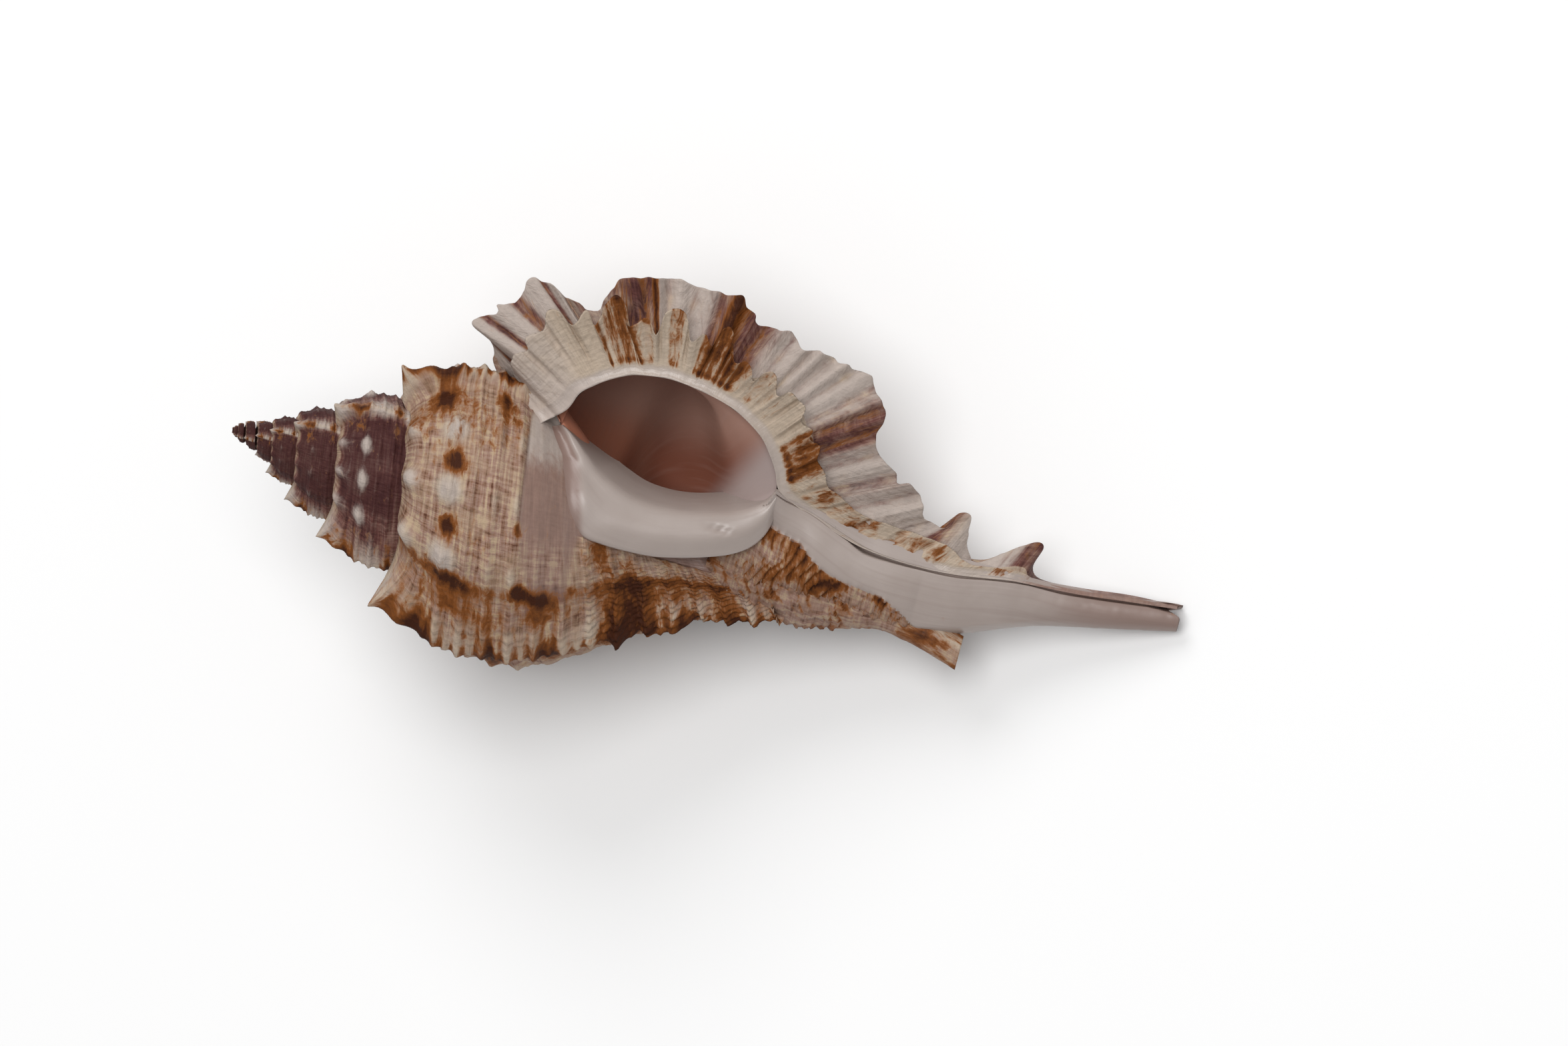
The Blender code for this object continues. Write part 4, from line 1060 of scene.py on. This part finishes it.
# %% Lay the shelf down and paint it
SHELF_SIZE = (60, 8)        # in mm along and across, roughly, for its streaks
CREASE = ((-2.5, 41.9), (-1.5, 41.6), (1.0, 40.9), (4.0, 40.1), (7.0, 38.9), (10.0, 36.5))
past_crease = shelf_grid[..., 0] - table(shelf_grid[..., 1], CREASE)
free_side = ((opening[:, None] - shelf_grid) * inward[:, None]).sum(axis=2)
own = np.maximum(ease(past_crease, -3.0, 0.6), 1 - ease(free_side, 0.0, 1.4))
lying = np.minimum(shelf_grid[..., 2], whorl_height(shelf_grid[..., 0], shelf_grid[..., 1]) + 0.12)
shelf_grid[..., 2] = own * shelf_grid[..., 2] + (1 - own) * lying
groove = hill(shelf_grid[..., 0], 56.6, 1.5) * hill(shelf_grid[..., 1], 3.35, 0.22)
shelf_grid[..., 2] -= 0.35 * groove
shape = shelf_grid.shape[:2]
across_shelf = np.broadcast_to(np.linspace(0, 1, SHELF_ACROSS)[None, :], shape)
crease = 1 - ease(past_crease, -0.5, 0.6)
shelf_paint = stains(shape, 0.0, crease + 0.9 * groove + 0.5 * ease(across_shelf, 0.8, 1.0),
                     0.9 * (1 - crease), 0.9)
shelf_streak = np.stack([np.broadcast_to(SHELF_SIZE[0] * at[:, None], shape),
                         SHELF_SIZE[1] * across_shelf], -1)
skin("inner_lip", shelf_grid, shelf_paint, shelf_streak, porcelain)

# %% [markdown]
# ## Inside the opening
# Past the opening the tube winds down behind the columella. A closed ring follows it from the mouth
# round a little over a third of a turn, where nobody can see further. Towards the canal its floor
# rises as a sill, so the rings are pressed together there, and two small rings close the deep end.

# %% Build the hollow
HOLLOW_OUTER = ((21.6, 10.4), (23.2, 11.4), (25.5, 12.9), (28.0, 13.9), (31.0, 14.1), (34.0, 13.5),
                (37.0, 12.0), (40.0, 9.8), (42.5, 7.8), (45.0, 5.6), (46.2, 4.3))
HOLLOW_INNER = ((21.6, 10.4), (23.0, 9.4), (25.2, 7.6), (27.5, 5.6), (30.0, 4.2), (33.0, 3.4),
                (36.0, 3.0), (40.0, 2.8), (44.0, 3.2), (46.2, 4.3))
HOLLOW_ANGLES = (26, 4, -18, -40, -62, -84, -106)
SILL_SOFT = 2.0         # in mm, how gently the sill starts
# By angle: where the sill starts along the axis, and how much it shortens what lies past that.
SILL_START = ((-106.0, 42.0), (-62.0, 43.5), (-40.0, 44.5), (-18.0, 46.0), (4.0, 48.0), (26.0, 50.0))
SILL_PRESS = ((-106.0, 0.90), (-62.0, 0.90), (-40.0, 0.85), (-18.0, 0.78), (4.0, 0.70), (26.0, 0.62))


def hollow_ring(angle):
    one, two = smooth(HOLLOW_OUTER, MOUTH_POINTS), smooth(HOLLOW_INNER, MOUTH_POINTS)
    section = growth(angle) * np.vstack([one, two[-2::-1]])
    past_sill = SILL_SOFT * np.logaddexp((section[:, 0] - table(angle, SILL_START)) / SILL_SOFT, 0)
    return around_axis(section[:, 0] - table(angle, SILL_PRESS) * past_sill, section[:, 1], angle)


mouth = mouth_loop()
deep = [hollow_ring(float(angle)) for angle in HOLLOW_ANGLES]
throat = [mouth + 0.35 * down, 0.97 * mouth + 0.03 * deep[0] + 0.6 * down,
          0.45 * mouth + 0.55 * deep[0]]
rings = np.stack(throat + deep)
fine_rings = np.stack([smooth(rings[:, k], 60) for k in range(rings.shape[1])], axis=1)
last = fine_rings[-1].mean(axis=0)
fine_rings = np.concatenate([fine_rings, last + 0.4 * (fine_rings[-1:] - last),
                             last + 0.01 * (fine_rings[-1:] - last)])
shape = fine_rings.shape[:2]
hx, hy = fine_rings[..., 0], fine_rings[..., 1]
lilac = ease(hx - 0.54 * (hy - 4.3), 51.5, 55.8) * ease(fine_rings[..., 2], -6.0, 3.0)
lit_side = ease(hx, 42.5, 47.5)      # the sill catches the light, so its paint is darker
upper = ease(hy, 9.0, 16.0)
# The first number is painted shade on the sill where the light falls. The fourth is painted light: a brighter
# red for the deep part.
inside_paint = stains(shape, 0.95 * lit_side * (1 - 0.6 * upper), 0.8 * upper, lilac,
                      (1 - lit_side) * (1 - 0.9 * upper))
inside_streak = np.stack([0.6 * np.arange(shape[0])[:, None] * np.ones(shape),
                          0.7 * np.arange(shape[1])[None, :] * np.ones(shape)], -1)
skin("inside_of_whorl", fine_rings, inside_paint, inside_streak, purple_inside, close=True)

# %% [markdown]
# ## The siphonal canal
# The long canal is a tube that the lips close over, all but a narrow slit. Its ring is laid out from
# the slit, with close steps near it, so that the slit is cut cleanly. Two lines along the canal say
# where the slit is and where the smooth band of glaze below it ends.

# %% The canal's tube
SLIT_LINE = ((50.0, 9.4), (58.0, 9.2), (61.0, 8.8), (63.0, 8.2), (66.0, 7.6), (70.0, 6.2), (73.0, 5.3),
             (76.0, 4.9), (80.0, 4.8), (84.0, 5.0), (88.0, 5.7), (92.0, 6.2), (96.0, 6.3), (100.0, 6.7),
             (105.0, 7.3), (108.5, 7.8), (110.5, 7.9))
BAND_EDGE = ((50.0, 6.0), (60.0, 5.8), (62.0, 5.3), (64.0, 4.6), (66.0, 3.9), (68.0, 2.5), (70.0, 1.6),
             (72.0, 1.2), (75.0, 0.9), (77.0, 0.4), (79.0, -0.5), (81.0, -1.7), (84.0, -3.8),
             (90.0, -6.0))

NEAR_SLIT = 20          # degrees to each side of the slit where the steps are close
offsets = np.concatenate([np.linspace(-180, -NEAR_SLIT, 44, endpoint=False),
                          np.linspace(-NEAR_SLIT, NEAR_SLIT, 60, endpoint=False),
                          np.linspace(NEAR_SLIT, 180, 44)])
canal_x = np.linspace(57.0, 110.0, 300)
centre_y, wide, centre_z, deep_z = [np.interp(canal_x, CANAL_LINE[:, 0], CANAL_LINE[:, k])[:, None]
                                    for k in (1, 2, 3, 4)]
slit_y = table(canal_x, smooth(SLIT_LINE, 200))[:, None]
band_y = table(canal_x, smooth(BAND_EDGE, 200))[:, None]
wide = wide + 1.6 * (1 - ease(canal_x, 62.0, 72.0))[:, None]
slit_turn = np.degrees(np.arccos(np.clip((slit_y - centre_y) / wide, -0.98, 0.98)))
turn = np.radians(slit_turn + offsets[None, :])
cx = np.broadcast_to(canal_x[:, None], turn.shape)
canal_grid = np.stack([cx, centre_y + wide * np.cos(turn), centre_z + deep_z * np.sin(turn)], -1)
print("the canal's tube is", round(float(np.ptp(canal_x))), "mm long")

# %% [markdown]
# ## The flattened band
# Between the band's edge and the slit the tube is made flatter, so that it rises evenly to the rim
# of the lip. The flattening stops near the tip, where the canal is thin. Beyond the slit the tube is
# drawn in a little and hides under the lip.

# %% Flatten the band of glaze
front = ease(np.sin(turn), 0.0, 0.25)
edge_y = np.maximum(band_y, centre_y - 0.8 * wide)      # the band's edge, kept on the tube
band_turn = np.arccos(np.clip((edge_y - centre_y) / wide, -1, 1))
band_z = centre_z + deep_z * np.sin(band_turn)
rim_z = np.interp(canal_x, margin[:, 0], margin[:, 2])[:, None] - 0.25
past_band = np.clip((canal_grid[..., 1] - edge_y) / (slit_y - edge_y), 0, 1)
glazed = ease(canal_grid[..., 1] - band_y, -0.15, 0.35) * front
flattened = ease(canal_grid[..., 1] - edge_y, -0.15, 0.35) * front
flat_z = band_z + (rim_z - band_z) * past_band + 0.35 * np.sin(np.pi * past_band)
canal_grid[..., 2] += flattened * ease(-canal_grid[..., 0], -104.0, -90.0) * (flat_z - canal_grid[..., 2])
aside = canal_grid[..., 1] - slit_y
hidden_flank = ease(aside, 0.4, 0.9)
canal_grid[..., 1] -= 0.12 * hidden_flank * wide
print("the band is up to", round(float((slit_y - edge_y).max()), 1), "mm wide")

# %% [markdown]
# ## Scales, slit and parted tip
# Below the band the old scaly base shows, with oblique growth steps, and it ends halfway along the
# canal. The slit is cut downwards, and two tables give its half width and its depth by X. At the
# very end a notch parts the tip in two.

# %% Roughen the canal and cut the slit
SLIT_WIDTH = ((60, 0.12), (66, 0.14), (71, 0.22), (73, 0.45), (76, 0.28), (80, 0.16), (106, 0.16),
              (109, 0.4))
SLIT_DEPTH = ((57, 0.25), (68, 0.35), (72, 1.4), (77, 0.9), (84, 0.55), (106, 0.5), (108.5, 2.2),
              (112, 2.6))
slit = np.exp(-(np.abs(aside - 0.1) / table(cx, SLIT_WIDTH)) ** 4)
plain = ease(cx, 82.5, 86.5)
scaly = (1 - np.maximum(glazed, plain)) * (1 - hidden_flank)
rough = grain(canal_grid, 2.2, 7)
fine = grain(canal_grid, 0.7, 8)
oblique = np.mod(canal_grid[..., 0] / 1.15 - 0.45 * canal_grid[..., 1] + 0.9 * rough, 1.0)
lift = 0.30 * glazed + scaly * (0.6 * oblique * (0.7 + 0.6 * rough) + 0.12 * fine) + 0.02 * fine * plain
outward = np.stack([np.zeros_like(turn), np.cos(turn), np.sin(turn)], -1)
canal_grid = canal_grid + lift[..., None] * outward
canal_grid[..., 0] -= 1.7 * hill(aside, -0.15, 0.32) * ease(cx, 106.5, 110.0)
canal_grid[..., 2] -= table(cx, SLIT_DEPTH) * slit * front
in_mouth = inside_outline(canal_grid, mouth) & (canal_grid[..., 2] > 0)
print("the slit is up to", round(float((table(cx, SLIT_DEPTH) * slit * front).max()), 1), "mm deep")

# %% [markdown]
# ## Paint and close the canal
# Rust lies on the scaly part, most of all in a few patches. Mauve fills the slit and grows towards
# the tip. The last ring is repeated three times, smaller and further back, which leaves a hole in
# the tip. Scaly faces get the outside finish and the others the porcelain.

# %% Paint and build the canal
# How strong a patch of rust is, then its place and its reach along X and along Y.
RUST_PATCHES = ((0.2, 67.5, 3.5, 2.6, 1.0), (0.9, 70.5, 1.8, 0.6, 0.9), (0.8, 76.0, 1.0, 0.5, 0.6))
canal_rust = 0.28 + 0.45 * rough + 0.25 * (oblique < 0.25)
for strong, patch_x, reach_x, patch_y, reach_y in RUST_PATCHES:
    canal_rust += strong * hill(cx, patch_x, reach_x) * hill(canal_grid[..., 1], patch_y, reach_y)
canal_rust *= scaly
canal_mauve = 0.30 * scaly + 0.85 * ease(cx, 90.0, 104.0) + 0.9 * slit * front + 0.2 * (1 - front)
canal_white = glazed * (0.55 - 0.55 * ease(cx, 88.0, 100.0)) + 0.15 * scaly
canal_paint = stains(turn.shape, canal_rust, canal_mauve, canal_white, 0.15 + 0.75 * glazed)
around = np.radians(offsets)[None, :] * wide
canal_streak = np.stack([np.where(scaly > 0.5, around, cx), np.where(scaly > 0.5, cx, around)], -1)
end = canal_grid[-1]
heart = end.mean(axis=0)
HOLE_DEPTH = 1.5
hole = np.stack([heart + f * (end - heart) - [HOLE_DEPTH * (1 - f), 0, 0] for f in (0.75, 0.4, 0.01)])
canal_grid = np.concatenate([canal_grid, hole])
canal_paint, canal_streak, scaly, in_mouth = [
    np.concatenate([grid, np.repeat(grid[-1:], len(hole), axis=0)])
    for grid in (canal_paint, canal_streak, scaly, in_mouth)]
skin("siphonal_canal", canal_grid, canal_paint, canal_streak, porcelain, close=True,
     leave_out=in_mouth, second=ribbed_outside, where=scaly > 0.5)

# %% [markdown]
# ## The old canal
# Each time the shell turns on, the old canal's tip is left behind. It stays as a golden scoop beside
# the new canal, and the scaly mass behind it joins the base. It is a flattened tube, written in a
# table with the same columns as the canal's, and its open end is pushed in as a recess.

# %% Build the old canal
OLD_CANAL = ((56.0, -0.4, 3.2, 0.2, 4.2), (60.0, -0.2, 3.8, 0.4, 4.4), (62.5, -0.2, 3.9, 0.5, 4.2),
             (65.0, -0.3, 4.0, 0.5, 3.9), (68.2, -0.6, 4.1, 0.5, 3.5), (70.0, -0.7, 3.4, 0.5, 3.2),
             (74.0, -0.9, 2.6, 0.6, 2.8), (77.0, -0.9, 2.1, 0.7, 2.4), (80.0, -1.3, 2.1, 0.8, 1.9),
             (83.0, -2.1, 2.0, 0.9, 1.5), (86.6, -3.2, 2.0, 0.9, 0.95))
old_line = smooth(OLD_CANAL, 170)
old_turn = np.radians(np.linspace(0, 360, 97))[None, :]
ox, oy, ow, oz, od = [old_line[:, k][:, None] for k in range(5)]
still = 0 * (ox + old_turn)             # zeros in the shape of the grid
old_grid = np.stack([ox + still, oy + ow * np.cos(old_turn), oz + od * np.sin(old_turn)], -1)
rough = grain(old_grid, 2.0, 9)
fine = grain(old_grid, 0.7, 10)
oblique = np.mod(old_grid[..., 0] / 1.2 + 0.4 * old_grid[..., 1] + 0.8 * rough, 1.0)
scaly = 1 - ease(old_grid[..., 0], 72.0, 78.0)
lift = scaly * (0.65 * oblique * (0.7 + 0.6 * rough) + 0.12 * fine) + 0.05 * fine
outward = np.stack([still, np.cos(old_turn) + still, np.sin(old_turn) + still], -1)
old_grid = old_grid + lift[..., None] * outward
end = old_grid[-1]
heart = end.mean(axis=0)
recess = np.stack([heart + 0.72 * (end - heart), heart + 0.62 * (end - heart) - [1.2, 0, 0],
                   heart + 0.4 * (end - heart) - [2.2, 0, 0], heart + 0.01 * (end - heart) - [2.4, 0, 0]])
old_grid = np.concatenate([old_grid, recess])
shape = old_grid.shape[:2]
gx, gy = old_grid[..., 0], old_grid[..., 1]
above_middle = gy - np.interp(gx, old_line[:, 0], old_line[:, 1])
upper_edge = ease(np.sin(old_turn) + 0 * gx, 0.2, 0.9) * ease(above_middle, -0.5, 0.8)
golden = ease(gx, 76.0, 80.0)
no_more = ((0, len(recess)), (0, 0))    # the recess has no scales and no grain
old_rust = 0.26 + 0.40 * np.pad(rough, no_more) + 0.22 * golden * (1 - upper_edge)
old_rust += 0.25 * np.pad(scaly * (oblique < 0.25), no_more)
# The recess's deeper rings are painted dark brown.
old_rust[-3:] = 0.8
old_paint = stains(shape, old_rust, 0.35 * (1 - golden), 0.75 * upper_edge * golden + 0.2 * (1 - golden), 0.4)
old_streak = np.stack([gx, 2.5 * old_turn + 0 * gx], -1)
skin("old_canal", old_grid, old_paint, old_streak, ribbed_outside, close=True)

# %% [markdown]
# ## Floor and light
# The shell lies on a plain pale floor. A wide soft light overhead shines into the opening, a smaller
# one from the top of the picture brings out the ribs, and a pale sky softens the shadows.

# %% Floor and light
FLOOR_SIZE = 3.0        # in metres, wide enough for the picture and its shadows


def stage_floor():
    bpy.ops.mesh.primitive_plane_add(size=FLOOR_SIZE, location=(0, 0, 0))
    floor = bpy.context.object
    floor.name = "floor"
    g = Graph("pale_floor")
    g.shader.inputs["Base Color"].default_value = (0.86, 0.86, 0.86, 1)
    g.shader.inputs["Roughness"].default_value = 0.8
    floor.data.materials.append(g.made)


def soft_light(name, place, aim, size, power):
    lamp = bpy.data.lights.new(name, "AREA")
    lamp.shape = "DISK"
    lamp.size = size
    lamp.energy = power
    made = bpy.data.objects.new(name, lamp)
    made.location = place
    made.rotation_euler = (Vector(aim) - Vector(place)).to_track_quat("-Z", "Y").to_euler()
    bpy.context.scene.collection.objects.link(made)


stage_floor()
soft_light("overhead", (0.10, 0.10, 1.3), (0, 0, 0.02), 0.9, 11.0)
soft_light("key", (-0.5, 0.8, 0.9), (0, 0, 0.02), 0.7, 6.0)
world = bpy.data.worlds.new("pale_sky")
bpy.context.scene.world = world
world.use_nodes = True
world.node_tree.nodes["Background"].inputs["Color"].default_value = (1.0, 1.0, 1.0, 1)
world.node_tree.nodes["Background"].inputs["Strength"].default_value = 0.36
bpy.context.scene.view_settings.view_transform = "Standard"
print("lit by two soft lamps and the sky")

# %% [markdown]
# ## Camera
# The camera looks straight into the opening, which is about sixteen degrees off upright, through a
# long lens that hardly distorts. Its three axes are worked out in the shell's own frame and turned
# by the same matrix as the shell, so it keeps its aim however the shell lies.

# %% Camera
PICTURE_CENTRE = np.array([63.4, 6.0, 8.0])      # in the shell's own frame, mm
PICTURE_WIDTH = 178.5                             # mm across, at that depth
PICTURE_TURN = math.radians(15.0)
SENSOR, LENS = 36.0, 300.0                        # in mm

camera = bpy.data.objects.new("camera", bpy.data.cameras.new("camera"))
camera.data.sensor_width = SENSOR
camera.data.lens = LENS
distance = PICTURE_WIDTH * LENS / SENSOR
place = to_room(PICTURE_CENTRE + np.array([0.0, 0.0, distance]))
right = TURN @ np.array([math.cos(PICTURE_TURN), math.sin(PICTURE_TURN), 0.0])
upward = TURN @ np.array([-math.sin(PICTURE_TURN), math.cos(PICTURE_TURN), 0.0])
towards = np.cross(right, upward)
axes = np.column_stack([right, upward, towards])
camera.matrix_world = Matrix([[*row, place[k]] for k, row in enumerate(axes)] + [[0, 0, 0, 1]])
bpy.context.scene.collection.objects.link(camera)
bpy.context.scene.camera = camera
print("the camera is", round(distance), "mm from the shell")
